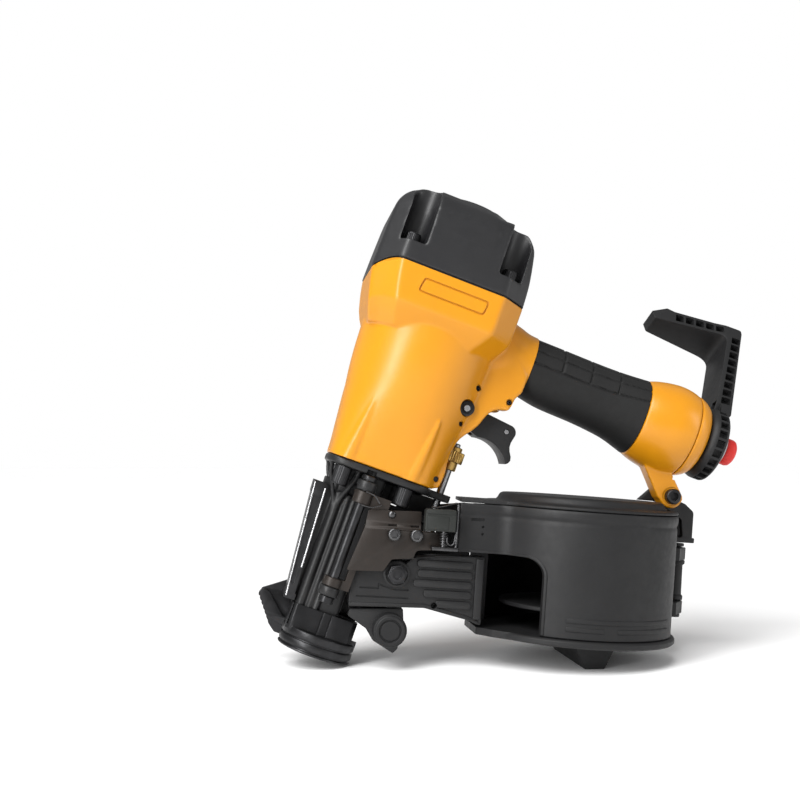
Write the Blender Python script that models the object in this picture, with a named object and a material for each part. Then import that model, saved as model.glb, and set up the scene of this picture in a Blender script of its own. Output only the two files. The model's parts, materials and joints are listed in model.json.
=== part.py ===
"""Pneumatic coil nail gun, built as separate solids around two lines.

The driver line leans back from upright, and the whole tool body is drawn in the
tool frame: z up the driver line, x back towards the handle, y across. The coil
magazine is drawn in its own frame, which leans less, so that collated nails meet
the driver squarely. Both frames are in millimetres and hang from one origin at
the middle of the object's footprint, on the floor it stands on.
"""

import math

import bmesh
import bpy
from mathutils import Matrix, Vector

# Driving dimensions, in millimetres and degrees
MILLIMETRE = 0.001
GAP = 0.3                     # clearance between touching pieces
DRIVER_LEAN = 20.0            # driver line from upright
MAGAZINE_LEAN = 4.0           # canister axis from upright
MAGAZINE_AT = (152.0, 0.0, 14.5)   # canister axis at its floor, from the nose

NOSE_HEIGHT = 5.05            # tool frame's origin above the floor
FOOT_RADIUS = 21.5            # round foot at the nose
FOOT_EDGE = 20.9              # its bottom edge, which rests on the floor
FOOT_BOTTOM = ((FOOT_EDGE * math.sin(math.radians(DRIVER_LEAN)) - NOSE_HEIGHT) /
               math.cos(math.radians(DRIVER_LEAN)))
CHANNEL_RADIUS = 3.4          # driver channel through the nose
BLADE_RADIUS = 2.6            # driver blade

BORE_RADIUS = 22.8            # cylinder bore
SLEEVE_RADIUS = 25.8
CHAMBER_RADIUS = 27.3         # bore of the housing around the sleeve
HOUSING_BOTTOM = 112.0
HOUSING_TOP = 222.2
CAP_BOTTOM = 223.2
CAP_TOP = 266.5
FLANGE_HALF = 45.0            # head flange, half across flats
FLANGE_REAR = 42.0            # head flange on the handle side
FLANGE_CHAMFER = 13.5

HANDLE_Z = 193.0              # handle axis above the nose foot
CORE_HALF_Y = 13.2            # handle tube under the grip
CORE_HALF_Z = 14.7
GRIP_START = 61.0
GRIP_END = 131.5
BELL_END = 163.0
HOOK_LEAN = 38.0              # hook plane from the tool's mid plane
HOOK_REACH = 96.0

EAR_HALF_Y = 19.0             # trigger pocket side plates, outer faces
POCKET_HALF_Y = 10.2
TRIGGER_PIVOT = (32.6, 161.0)
LEVER_PIVOT = (61.0, 157.5)
VALVE_X = 45.0
ROD_X = 38.0                  # rear contact rod

DOOR_HINGE = (-5.5, -25.0)
FEED_AXIS = (26.0, 72.0)      # feed cylinder: y and z

CANISTER_RADIUS = 56.0
CANISTER_WALL = 3.0
CANISTER_TOP = 74.0
COVER_HINGE = (63.5, 8.0)
LUG_BOLT = (166.0, 156.0)

CAP_SCREWS = [(-29.0, -34.5), (28.0, -33.5), (-29.0, 34.5), (28.0, 33.5)]
NOSE_SCREWS = [(-20.5, -21.0), (15.8, -21.0), (-20.5, 21.0), (15.8, 21.0)]

TOOL = (Matrix.Translation((0.0, 0.0, NOSE_HEIGHT)) @
        Matrix.Rotation(math.radians(DRIVER_LEAN), 4, "Y"))
MAGAZINE = (Matrix.Translation(MAGAZINE_AT) @
            Matrix.Rotation(math.radians(MAGAZINE_LEAN), 4, "Y"))

COLOURS = {
    "yellow": ((0.90, 0.42, 0.02), 0.35, 0.0),
    "black_cast": ((0.02, 0.02, 0.022), 0.45, 0.0),
    "black_plastic": ((0.015, 0.015, 0.016), 0.55, 0.0),
    "rubber": ((0.02, 0.02, 0.02), 0.8, 0.0),
    "steel": ((0.45, 0.45, 0.46), 0.3, 1.0),
    "dark_steel": ((0.06, 0.06, 0.062), 0.35, 1.0),
    "brass": ((0.75, 0.52, 0.2), 0.3, 1.0),
    "brown_steel": ((0.06, 0.05, 0.045), 0.4, 0.6),
    "green_grey": ((0.08, 0.09, 0.08), 0.5, 0.2),
    "red_rubber": ((0.8, 0.04, 0.04), 0.5, 0.0),
    "grey_rubber": ((0.12, 0.12, 0.12), 0.7, 0.0),
    "aluminium": ((0.6, 0.6, 0.62), 0.35, 1.0),
}


def clear_scene():
    for item in list(bpy.data.objects):
        bpy.data.objects.remove(item)


def make_material(name, look):
    colour, roughness, metallic = COLOURS[look]
    material = bpy.data.materials.new(name)
    material.use_nodes = True
    shader = material.node_tree.nodes["Principled BSDF"]
    shader.inputs["Base Color"].default_value = (*colour, 1.0)
    shader.inputs["Roughness"].default_value = roughness
    shader.inputs["Metallic"].default_value = metallic
    material.diffuse_color = (*colour, 1.0)
    return material


# Shapes. Each returns an object whose mesh is in millimetres, in the frame it is drawn in.

def object_from(mesh_data):
    """Turn a bmesh into a scene object with its faces pointing out."""
    bmesh.ops.recalc_face_normals(mesh_data, faces=mesh_data.faces)
    mesh = bpy.data.meshes.new("shape")
    mesh_data.to_mesh(mesh)
    mesh_data.free()
    item = bpy.data.objects.new("shape", mesh)
    bpy.context.scene.collection.objects.link(item)
    return item


def loft(rings):
    """Close a tube of equal rings of points, with a flat face on each end."""
    shape = bmesh.new()
    loops = [[shape.verts.new(point) for point in ring] for ring in rings]
    count = len(rings[0])
    for lower, upper in zip(loops, loops[1:]):
        for index in range(count):
            after = (index + 1) % count
            shape.faces.new((lower[index], lower[after], upper[after], upper[index]))
    shape.faces.new(loops[0])
    shape.faces.new(loops[-1])
    return object_from(shape)


def prism(outline, low, high, across="y"):
    """Extrude an outline between two heights along one axis of its frame."""
    placing = {
        "x": lambda a, b, height: (height, a, b),
        "y": lambda a, b, height: (a, height, b),
        "z": lambda a, b, height: (a, b, height),
    }[across]
    rings = [[placing(a, b, height) for a, b in outline] for height in (low, high)]
    return loft(rings)


def box(low, high):
    outline = [(low[0], low[1]), (high[0], low[1]), (high[0], high[1]), (low[0], high[1])]
    return prism(outline, low[2], high[2], "z")


def ring_points(centre, radius, height, across, count):
    points = []
    for index in range(count):
        angle = 2.0 * math.pi * (index + 0.5) / count
        first = centre[0] + radius * math.cos(angle)
        second = centre[1] + radius * math.sin(angle)
        points.append({
            "x": (height, first, second),
            "y": (first, height, second),
            "z": (first, second, height),
        }[across])
    return points


def turned(profile, centre=(0.0, 0.0), across="z", count=32):
    """Stack rings of (radius, height) about an axis through centre."""
    rings = [ring_points(centre, radius, height, across, count) for radius, height in profile]
    return loft(rings)


def rod(radius, low, high, centre=(0.0, 0.0), across="z", count=20):
    return turned([(radius, low), (radius, high)], centre, across, count)


def superellipse(half_a, half_b, power, count):
    """Points of a rounded outline, from an ellipse at power 2 to a box above 4."""
    points = []
    for index in range(count):
        angle = 2.0 * math.pi * (index + 0.5) / count
        cosine = math.cos(angle)
        sine = math.sin(angle)
        points.append((math.copysign(half_a * abs(cosine) ** (2.0 / power), cosine),
                       math.copysign(half_b * abs(sine) ** (2.0 / power), sine)))
    return points


def octagon(front, rear, side, chamfer):
    return [(-front + chamfer, -side), (rear - chamfer, -side), (rear, -side + chamfer),
            (rear, side - chamfer), (rear - chamfer, side), (-front + chamfer, side),
            (-front, side - chamfer), (-front, -side + chamfer)]


def arc(centre, radius, start, stop, count):
    """Points on an arc, angles in degrees."""
    points = []
    for index in range(count + 1):
        angle = math.radians(start + (stop - start) * index / count)
        points.append((centre[0] + radius * math.cos(angle),
                       centre[1] + radius * math.sin(angle)))
    return points


def coil(radius, wire, low, high, turns, centre, across="z"):
    """A round wire wound on a helix, with flat ends."""
    per_turn = 8
    steps = per_turn * turns
    sides = 4
    rings = []
    pitch_angle = math.atan2((high - low - 2 * wire) / turns, 2.0 * math.pi * radius)
    for step in range(steps + 1):
        turn = 2.0 * math.pi * step / per_turn
        height = low + wire + (high - low - 2 * wire) * step / steps
        outward = Vector((math.cos(turn), math.sin(turn), 0.0))
        along = Vector((-math.sin(turn) * math.cos(pitch_angle),
                        math.cos(turn) * math.cos(pitch_angle), math.sin(pitch_angle)))
        third = along.cross(outward)
        ring = []
        for side in range(sides):
            angle = 2.0 * math.pi * side / sides
            point = outward * (radius + wire * math.cos(angle)) + third * (wire * math.sin(angle))
            local = (centre[0] + point.x, centre[1] + point.y, height + point.z)
            if across == "x":
                local = (local[2], local[0], local[1])
            ring.append(local)
        rings.append(ring)
    return loft(rings)


def combine(base, tool, operation):
    """Apply one Boolean to the base object and remove the tool object."""
    modifier = base.modifiers.new("combine", "BOOLEAN")
    modifier.operation = operation
    modifier.solver = "EXACT"
    modifier.object = tool
    graph = bpy.context.evaluated_depsgraph_get()
    result = bpy.data.meshes.new_from_object(base.evaluated_get(graph))
    base.modifiers.clear()
    base.data = result
    bpy.data.objects.remove(tool)
    return base


def join(base, *others):
    for other in others:
        combine(base, other, "UNION")
    return base


def cut(base, *others):
    for other in others:
        combine(base, other, "DIFFERENCE")
    return base


def node(name, item, look, pivot=(0.0, 0.0, 0.0), frame=TOOL):
    """Name a finished solid, give it its colour and put its origin on its pivot."""
    item.name = name
    item.data.name = name
    item.data.materials.clear()
    item.data.materials.append(make_material(name, look))
    to_metres = Matrix.Scale(MILLIMETRE, 4)
    origin = to_metres @ frame @ Vector(pivot)
    item.data.transform(Matrix.Translation(-origin) @ to_metres @ frame)
    item.location = origin
    item.parent = bpy.data.objects["row_origin"]
    item.data.shade_smooth()
    item.data.set_sharp_from_angle(angle=math.radians(30.0))


def socket_screw(head_radius, head_low, head_high, shank_radius, shank_end, centre,
                 across="z"):
    """Cap screw: head, shank towards shank_end and a hexagon socket in the head."""
    above = head_low > shank_end
    depth = 0.55 * (head_high - head_low)
    socket = (head_high - depth, head_high + 1.0) if above else (head_low - 1.0, head_low + depth)
    screw = rod(head_radius, head_low, head_high, centre, across, 14)
    inside = 0.5 * (head_low + head_high)
    shank = rod(shank_radius, min(inside, shank_end), max(inside, shank_end), centre, across, 8)
    join(screw, shank)
    return cut(screw, rod(0.5 * head_radius, *socket, centre, across, 6))


def from_magazine(item):
    """Move a shape drawn in the magazine frame into the tool frame."""
    item.data.transform(TOOL.inverted() @ MAGAZINE)
    return item


# Body of the tool

def barrel_rings():
    stations = [(HOUSING_BOTTOM, 31.0, 28.0, 4.5), (118.0, 31.4, 28.6, 4.0), (134.0, 34.6, 32.0, 3.0),
                (152.0, 38.0, 36.5, 2.4), (172.0, 40.3, 40.0, 2.15), (200.0, 41.5, 41.5, 2.1)]
    return [[(x, y, z) for x, y in superellipse(half_x, half_y, power, 32)]
            for z, half_x, half_y, power in stations]


def head_flange():
    stations = [(193.0, 38.0, 38.0, 38.0), (204.0, FLANGE_HALF, FLANGE_REAR, FLANGE_HALF),
                (HOUSING_TOP, FLANGE_HALF, FLANGE_REAR, FLANGE_HALF)]
    return loft([[(x, y, z) for x, y in octagon(front, rear, side, FLANGE_CHAMFER)]
                 for z, front, rear, side in stations])


def handle_rings(stations, count=28):
    """Rings across the handle from (x, bottom, top, half width, power)."""
    rings = []
    for x, bottom, top, half_y, power in stations:
        middle = 0.5 * (bottom + top)
        ring = superellipse(half_y, 0.5 * (top - bottom), power, count)
        rings.append([(x, y, middle + z) for y, z in ring])
    return rings


def handle_core(clearance):
    """The tube under the grip, grown by a clearance."""
    outline = superellipse(CORE_HALF_Y + clearance, CORE_HALF_Z + clearance, 2.3, 20)
    return loft([[(x, y, HANDLE_Z + 2.5 + z) for y, z in outline] for x in (50.0, 140.0)])


def ear_outline():
    return [(8.0, 113.0), (33.8, 113.0), (34.3, 121.5), (33.3, 131.0), (33.5, 137.3), (35.0, 143.4),
            (39.2, 148.9), (43.1, 155.0), (44.6, 161.0), (48.0, 165.4), (51.1, 167.1), (56.4, 168.0),
            (57.5, 176.0), (60.0, 180.5), (60.0, 190.0), (39.0, 206.5), (8.0, 206.5)]


def bell_profile():
    return [(22.4, 131.8), (24.0, 136.0), (26.0, 144.0), (26.7, 152.0), (25.9, 158.0), (24.7, BELL_END)]


def lug_outline():
    return ([(141.0, 172.0), (159.5, LUG_BOLT[1] - 4.5)] +
            arc(LUG_BOLT, 7.0, 215.0, 375.0, 8) + [(160.5, 170.0)])


def build_housing():
    body = loft(barrel_rings())
    join(body, head_flange())
    join(body, prism(ear_outline(), -EAR_HALF_Y, EAR_HALF_Y))
    neck = [(28.0, 168.0, 221.9, 20.0, 2.4), (42.0, 173.0, 219.6, 19.5, 2.4),
            (52.0, 177.5, 217.3, 18.6, 2.3), (GRIP_START - GAP, 180.0, 215.0, 18.0, 2.3)]
    join(body, loft(handle_rings(neck)))
    join(body, handle_core(0.0))
    join(body, turned(bell_profile(), (0.0, HANDLE_Z), "x", 32))
    join(body, prism(lug_outline(), -9.0, 2.5))
    return cut_housing(body)


def cut_housing(body):
    cut(body, rod(CHAMBER_RADIUS, 119.0, HOUSING_TOP + 5.0, count=32))
    cut(body, rod(6.0, 105.0, 125.0, count=16))
    cut(body, rod(7.6, 20.0, 170.0, (0.0, HANDLE_Z + 1.0), "x", 16))
    cut(body, rod(15.5, 152.0, 170.0, (0.0, HANDLE_Z), "x", 24))
    pocket = [(31.2, 105.0), (46.0, 105.0), (70.0, 130.0), (70.0, 171.5), (24.0, 171.5),
              (24.0, 153.0), (31.2, 146.0)]
    cut(body, prism(pocket, -POCKET_HALF_Y, POCKET_HALF_Y))
    cut(body, rod(7.3, 168.0, 192.0, (VALVE_X, 0.0)))
    for x, z, radius in [(*TRIGGER_PIVOT, 2.8), (35.0, 174.0, 1.8), (55.0, 172.8, 1.6), (32.3, 151.6, 1.5),
                         (30.0, 118.0, 1.6)]:
        cut(body, rod(radius, -30.0, 30.0, (x, z), "y", 10))
    cut(body, rod(4.9, -45.0, 0.2 - EAR_HALF_Y, TRIGGER_PIVOT, "y", 16))
    for x, y in CAP_SCREWS:
        cut(body, rod(3.0, 211.0, 230.0, (x, y), count=8))
    for x, y in NOSE_SCREWS:
        cut(body, rod(3.0, 105.0, 118.5, (x, y), count=8))
    cut(body, rod(3.4, -20.0, 20.0, LUG_BOLT, "y", 16))
    return body


def build_head_cap():
    stations = [(CAP_BOTTOM, 45.0, 42.0, 45.0), (236.0, 44.8, 41.2, 44.8), (256.0, 43.6, 37.4, 43.2),
                (262.0, 38.8, 35.0, 39.6), (CAP_TOP, 34.0, 30.0, 35.0)]
    cap = loft([[(x, y, z) for x, y in octagon(front, rear, side, 0.3 * side)]
                for z, front, rear, side in stations])
    cut(cap, rod(CHAMBER_RADIUS + 0.3, CAP_BOTTOM - 3.0, 257.0, count=32))
    for x, y in CAP_SCREWS:
        side = math.copysign(1.0, y)
        cut(cap, rod(7.3, 233.4, 280.0, (x, y), count=16))
        low_y, high_y = sorted((y, side * 60.0))
        cut(cap, box((x - 7.3, low_y, 233.4), (x + 7.3, high_y, 280.0)))
        cut(cap, rod(3.0, 220.0, 240.0, (x, y), count=8))
    cut(cap, rod(2.7, 255.0, 275.0, count=12))
    for angle in (0.0, 120.0, 240.0):
        centre = (11.0 * math.cos(math.radians(angle)), 11.0 * math.sin(math.radians(angle)))
        cut(cap, rod(3.5, 250.0, 275.0, centre, count=12))
    return cap


def build_gasket():
    outline = octagon(FLANGE_HALF - 0.8, FLANGE_REAR - 0.8, FLANGE_HALF - 0.8, FLANGE_CHAMFER)
    gasket = prism(outline, HOUSING_TOP + GAP, CAP_BOTTOM - GAP, "z")
    cut(gasket, rod(CHAMBER_RADIUS + 0.6, 220.0, 230.0, count=32))
    for x, y in CAP_SCREWS:
        cut(gasket, rod(3.0, 220.0, 230.0, (x, y), count=8))
    return gasket


def build_deflector():
    disc = turned([(19.0, CAP_TOP + GAP), (20.0, CAP_TOP + 1.5), (20.0, CAP_TOP + 3.5),
                   (18.0, CAP_TOP + 5.0)], count=32)
    join(disc, prism([(10.0, -9.0), (25.0, -11.0), (25.0, 11.0), (10.0, 9.0)],
                     CAP_TOP + 0.6, CAP_TOP + 4.0, "z"))
    cut(disc, rod(2.9, 250.0, 280.0, count=12))
    cut(disc, rod(5.2, CAP_TOP + 3.2, 280.0, count=20))
    cut(disc, box((12.0, -8.0, CAP_TOP - 2.0), (30.0, 8.0, CAP_TOP + 2.6)))
    return disc


def build_sleeve():
    sleeve = turned([(SLEEVE_RADIUS, 120.0), (SLEEVE_RADIUS, 219.0), (26.9, 219.0), (26.9, 224.0)], count=32)
    return cut(sleeve, rod(BORE_RADIUS, 115.0, 230.0, count=32))


def build_piston():
    piston = turned([(22.2, 205.0), (22.2, 209.5), (19.8, 209.5), (19.8, 212.5), (22.2, 212.5),
                     (22.2, 217.0)], count=32)
    return join(piston, rod(BLADE_RADIUS, 74.0, 208.0, count=12))


def build_ring(outer, inner, low, high, count=32, centre=(0.0, 0.0), across="z"):
    ring = rod(outer, low, high, centre, across, count)
    return cut(ring, rod(inner, low - 5.0, high + 5.0, centre, across, count))


def build_grip():
    stations = [(GRIP_START, 180.0, 215.0, 18.0, 2.3), (75.0, 177.5, 214.8, 18.3, 2.3),
                (97.0, 176.5, 214.4, 18.6, 2.3), (111.0, 175.3, 214.4, 19.2, 2.3),
                (120.0, 173.8, 214.8, 20.4, 2.2), (GRIP_END, 170.4, 215.6, 22.3, 2.1)]
    grip = loft(handle_rings(stations))
    return cut(grip, handle_core(GAP))


def build_end_cap():
    cap = turned([(24.6, BELL_END + GAP), (22.9, 168.0), (20.0, 171.7), (12.7, 171.7), (12.7, 183.2)],
                 (0.0, HANDLE_Z), "x", 32)
    join(cap, rod(15.0, 154.0, 165.0, (0.0, HANDLE_Z), "x", 24))
    return cut(cap, rod(6.4, 150.0, 190.0, (0.0, HANDLE_Z), "x", 16))


def build_fitting():
    fitting = rod(6.0, 172.0, 188.0, (0.0, HANDLE_Z), "x", 16)
    join(fitting, turned([(14.5, 183.6), (14.5, 185.8), (9.0, 186.2), (9.0, 188.4)],
                         (0.0, HANDLE_Z), "x", 24))
    return cut(fitting, rod(3.6, 160.0, 195.0, (0.0, HANDLE_Z), "x", 14))


def build_plug_cap():
    plug = turned([(7.6, 188.8), (8.0, 190.5), (8.0, 193.5), (6.4, 196.0)], (0.0, HANDLE_Z), "x", 24)
    return join(plug, rod(3.2, 178.0, 190.0, (0.0, HANDLE_Z), "x", 14))


def build_hook():
    """Ring on the handle's spigot and an L-shaped arm, drawn upright then leaned over."""
    ring = turned([(22.0, 172.1), (26.0, 174.5), (27.0, 178.0), (27.0, 181.0), (25.0, 183.2)],
                  (0.0, HANDLE_Z), "x", 32)
    arm_side = [(178.0, 17.0), (187.5, 17.0), (196.5, HOOK_REACH - 9.0), (194.5, HOOK_REACH - 3.0),
                (190.0, HOOK_REACH), (150.0, HOOK_REACH), (145.0, HOOK_REACH + 1.5),
                (135.0, HOOK_REACH - 5.0), (137.5, HOOK_REACH - 10.5), (181.0, HOOK_REACH - 9.0),
                (185.5, HOOK_REACH - 13.5)]
    arm = loft([[(x, side * (15.5 - 0.035 * reach), HANDLE_Z + reach) for x, reach in arm_side]
                for side in (-1.0, 1.0)])
    join(ring, arm)
    cut(ring, rod(13.0, 165.0, 190.0, (0.0, HANDLE_Z), "x", 32))
    cut(ring, rod(15.2, 183.4, 195.0, (0.0, HANDLE_Z), "x", 24))
    upright = Vector((0.0, 0.0, HANDLE_Z))
    lean = (Matrix.Translation(upright) @ Matrix.Rotation(math.radians(-HOOK_LEAN), 4, "X") @
            Matrix.Translation(-upright))
    ring.data.transform(lean)
    return ring


# Trigger group

def trigger_outline():
    pivot = arc(TRIGGER_PIVOT, 6.0, 90.0, 235.0, 6)
    finger = arc((50.2, 131.0), 18.6, 103.0, 34.0, 7)
    return pivot + [(38.0, 151.6)] + finger + [(67.0, 140.2), (68.6, 143.0), (66.0, 148.0),
                                               (65.4, 152.5)] + arc((62.0, 157.5), 4.4, -20.0, 80.0, 4) + \
        [(46.0, 163.6)]


def build_trigger():
    trigger = prism(trigger_outline(), -9.5, 9.5)
    slot = [(35.3, 140.0), (44.0, 140.0), (44.0, 151.8), (58.0, 151.5), (66.5, 152.5), (68.0, 156.0),
            (68.0, 170.0), (35.3, 170.0)]
    cut(trigger, prism(slot, -5.0, 5.0))
    cut(trigger, rod(3.1, -20.0, 20.0, TRIGGER_PIVOT, "y", 16))
    return cut(trigger, rod(1.6, -20.0, 20.0, LEVER_PIVOT, "y", 12))


def build_trigger_pin():
    pin = rod(2.5, -21.0, 19.0, TRIGGER_PIVOT, "y", 16)
    return join(pin, rod(4.4, -23.5, -EAR_HALF_Y - GAP, TRIGGER_PIVOT, "y", 20))


def build_trip_lever():
    outline = [(37.0, 156.2), (58.0, 154.6)] + arc(LEVER_PIVOT, 2.9, -90.0, 90.0, 6) + \
        [(52.0, 159.2), (41.0, 160.4), (37.0, 158.4)]
    lever = prism(outline, -4.6, 4.6)
    return join(lever, rod(1.3, -9.2, 9.2, LEVER_PIVOT, "y", 12))


def build_valve_body():
    valve = rod(7.0, 172.0, 189.5, (VALVE_X, 0.0), count=24)
    cut(valve, rod(2.5, 165.0, 195.0, (VALVE_X, 0.0), count=14))
    return valve


def build_valve_stem():
    return turned([(1.6, 165.5), (2.0, 166.1), (2.0, 186.5)], (VALVE_X, 0.0), count=14)


# Nose group

def build_nose_body():
    body = prism(superellipse(31.0, 27.0, 4.5, 28), 107.5, HOUSING_BOTTOM - GAP, "z")
    join(body, box((-20.0, -11.0, 25.0), (6.0, 11.0, 109.0)))
    join(body, box((25.0, -8.0, 107.5), (43.5, 8.0, HOUSING_BOTTOM - GAP)))
    web = [(-23.5, -10.0), (-10.0, -10.0), (-10.0, 10.0), (-23.5, 10.0)]
    join(body, loft([[(x, y, 107.8) for x, y in web],
                     [(max(x, -19.0), 0.7 * y, 86.0) for x, y in web]]))
    for low, high in ((98.2, 103.8), (37.6, 42.7)):
        join(body, box((-9.5, -25.0, low), (-1.5, -10.0, high)))
        join(body, rod(5.4, low, high, DOOR_HINGE, count=20))
    join(body, box((-6.0, 6.0, 86.0), (44.0, 11.2, 91.0)))
    join(body, box((4.0, 6.0, 86.0), (44.0, 34.0, 91.0)))
    join(body, box((-18.0, 10.0, 80.0), (-9.5, 28.0, 84.0)))
    join(body, box((-18.0, 20.0, 80.0), (-1.0, 28.0, 84.0)))
    cut(body, rod(CHANNEL_RADIUS, 20.0, 115.0, count=16))
    cut(body, box((0.0, -3.3, 18.0), (12.0, 3.3, 80.0)))
    cut(body, rod(3.0, 100.0, 115.0, (ROD_X, 0.0), count=16))
    cut(body, rod(3.3, 30.0, 110.0, DOOR_HINGE, count=16))
    for x, y in NOSE_SCREWS:
        cut(body, rod(3.0, 100.0, 115.0, (x, y), count=8))
    return body


def build_contact_foot():
    profile = [(FOOT_EDGE, FOOT_BOTTOM), (FOOT_RADIUS, FOOT_BOTTOM + 0.6), (FOOT_RADIUS, 5.0),
               (20.2, 5.4), (20.2, 6.4), (FOOT_RADIUS, 6.8), (FOOT_RADIUS, 9.2), (20.2, 9.6),
               (20.2, 10.6), (FOOT_RADIUS, 11.0), (FOOT_RADIUS, 14.0)]
    foot = turned(profile, count=32)
    collar = octagon(20.9, 17.5, 12.8, 2.5)
    join(foot, prism(collar, 12.0, 27.0, "z"))
    lever = [(-12.0, 4.0), (-24.0, 4.0), (-28.5, 7.5), (-40.0, 22.0), (-38.5, 26.0), (-34.0, 25.0),
             (-22.0, 14.0), (-12.0, 13.0)]
    join(foot, prism(lever, 13.0, 18.0))
    cut(foot, box((-20.35, -11.35, 14.2), (6.35, 11.35, 30.0)))
    cut(foot, rod(5.0, -5.0, 20.0, count=20))
    cut(foot, box((6.0, -3.4, 14.2), (20.0, 3.4, 30.0)))
    return foot


def build_contact_arm():
    """Front strip, far-side riser and the bridge over the track to the rear rod."""
    base_gap = 27.0 + GAP
    front = prism([(-33.0, 95.0), (-24.5, 95.0), (-21.3, base_gap), (-26.3, base_gap)], -9.5, 9.5)
    rear_face = [(-29.8, 96.0), (-20.4, 96.0), (-20.4, 20.0), (-23.4, 20.0)]
    cut(front, prism(rear_face, -7.2, 7.2))
    join(front, prism([(-33.0, 95.0), (-24.5, 95.0), (-24.2, 88.0), (-32.6, 88.0)], -9.5, 9.5))
    join(front, box((-31.0, -9.5, 27.3), (-20.6, 16.0, 31.0)))
    join(front, box((-24.0, 12.0, 27.3), (0.0, 16.0, 33.0)))
    join(front, box((-8.0, 12.0, 27.3), (0.0, 16.0, 96.0)))
    join(front, box((-8.0, 12.0, 40.0), (0.0, 27.0, 43.0)))
    join(front, box((-8.0, 11.6, 92.5), (16.0, 16.0, 96.0)))
    join(front, box((10.0, -3.5, 92.5), (42.0, 16.0, 96.0)))
    cut(front, rod(2.9, 85.0, 100.0, (ROD_X, 0.0), count=16))
    return front


def build_contact_rod():
    contact = rod(2.2, 84.0, 142.0, (ROD_X, 0.0), count=16)
    join(contact, rod(4.2, 87.0, 92.2, (ROD_X, 0.0), count=6))
    return join(contact, rod(4.2, 96.3, 97.2, (ROD_X, 0.0), count=6))


def build_depth_wheel():
    wheel = rod(6.2, 131.0, 137.5, (ROD_X, 0.0), count=24)
    join(wheel, rod(4.0, 126.0, 140.0, (ROD_X, 0.0), count=16))
    return cut(wheel, rod(2.3, 120.0, 145.0, (ROD_X, 0.0), count=16))


def build_guide():
    outline = [(9.0, 34.6), (9.0, 30.5), (21.0, 27.0), (27.0, 22.0), (40.0, 18.8), (41.6, 22.0),
               (41.0, 34.0), (37.0, 44.2)]
    guide = prism(outline, -22.0, -15.5)
    join(guide, rod(10.0, -12.0, 6.0, (33.0, 31.0), "y", 24))
    join(guide, rod(8.0, -16.0, -11.0, (33.0, 31.0), "y", 20))
    return cut(guide, rod(2.6, -30.0, 2.0, (33.0, 31.0), "y", 12))


def build_guide_knob():
    knob = turned([(8.0, -32.0), (9.3, -30.8), (9.3, -22.0 - GAP)], (33.0, 31.0), "y", 28)
    return join(knob, rod(2.2, -24.0, 0.0, (33.0, 31.0), "y", 12))


def build_hinge_pin():
    pin = rod(2.9, 36.0, 105.0, DOOR_HINGE, count=16)
    join(pin, rod(4.4, 104.1, 107.0, DOOR_HINGE, count=16))
    return join(pin, rod(4.2, 33.5, 37.3, DOOR_HINGE, count=16))


# Feed group

def build_feed_cylinder():
    y, z = FEED_AXIS
    shell = rod(9.0, 26.0, 63.0, (y, z), "x", 28)
    join(shell, box((30.0, y - 6.0, z + 4.0), (42.0, y + 6.0, 91.0 - 5.0 - GAP)))
    cut(shell, rod(7.0, 29.0, 60.0, (y, z), "x", 28))
    return cut(shell, rod(2.5, 20.0, 32.0, (y, z), "x", 14))


def build_feed_piston():
    y, z = FEED_AXIS
    piston = rod(6.7, 32.0, 36.0, (y, z), "x", 24)
    join(piston, rod(2.2, 16.0, 34.0, (y, z), "x", 14))
    join(piston, box((11.0, y - 4.0, z - 8.0), (17.0, y + 4.0, z + 4.0)))
    return cut(piston, box((8.0, y - 5.0, z - 4.5), (14.4, y + 5.0, z + 0.5)),
               rod(1.3, z - 12.0, z + 8.0, (12.8, y), count=12))


def build_feed_pawl():
    y, z = FEED_AXIS
    outline = [(12.8, y + 1.6), (11.4, y), (10.2, 5.5), (14.0, 8.5), (14.1, y), (13.6, y + 1.4)]
    pawl = prism(outline, z - 4.2, z + 0.2, "z")
    return join(pawl, rod(1.0, z - 7.8, z + 3.8, (12.8, y), count=12))


# Door over the feed track

def door_plate_outline():
    return [(-137.0, 32.4), (-119.0, 32.9), (-117.2, 39.5), (-112.0, 43.0), (-98.5, 46.5), (-83.0, 47.2),
            (-83.0, 56.4), (-97.4, 56.6), (-97.4, 58.2), (-128.2, 57.4)]


def build_door():
    outline = [(-128.0, 34.0), (-120.0, 34.4), (-118.5, 40.5), (-113.0, 44.5), (-98.5, 48.0), (-98.0, 66.4),
               (-121.0, 65.6)]
    door = from_magazine(prism(outline, -27.4, -16.0))
    for low, high in ((91.0, 97.9), (43.0, 48.0)):
        join(door, rod(5.4, low, high, DOOR_HINGE, count=20))
    join(door, box((-5.5, -27.0, 91.0), (10.0, -21.0, 97.9)))
    join(door, box((-5.5, -27.0, 43.0), (4.5, -21.0, 48.0)))
    join(door, box((0.8, -27.0, 43.0), (4.5, -21.0, 97.9)))
    cut(door, rod(3.3, 30.0, 110.0, DOOR_HINGE, count=16))
    for x in (-112.2, -99.8):
        cut(door, from_magazine(rod(1.9, -35.0, -18.0, (x, 53.6), "y", 12)))
    return door


def build_door_plate():
    plate = prism(door_plate_outline(), -30.6, -29.1)
    bent_top = loft([
        [(-128.2, -30.6, 56.5), (-97.4, -30.6, 57.3), (-97.4, -29.1, 57.3), (-128.2, -29.1, 56.5)],
        [(-127.0, -29.1, 66.2), (-97.4, -29.1, 67.0), (-97.4, -27.9, 67.0), (-127.0, -27.9, 66.2)]])
    join(plate, bent_top)
    for x in (-112.2, -99.8):
        cut(plate, rod(2.2, -35.0, -25.0, (x, 53.6), "y", 12))
    return plate


def build_latch():
    latch = box((-96.5, -39.0, 57.0), (-79.5, -30.9, 69.0))
    return cut(latch, rod(1.6, 50.0, 75.0, (-85.5, -35.0), "z", 12))


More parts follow.
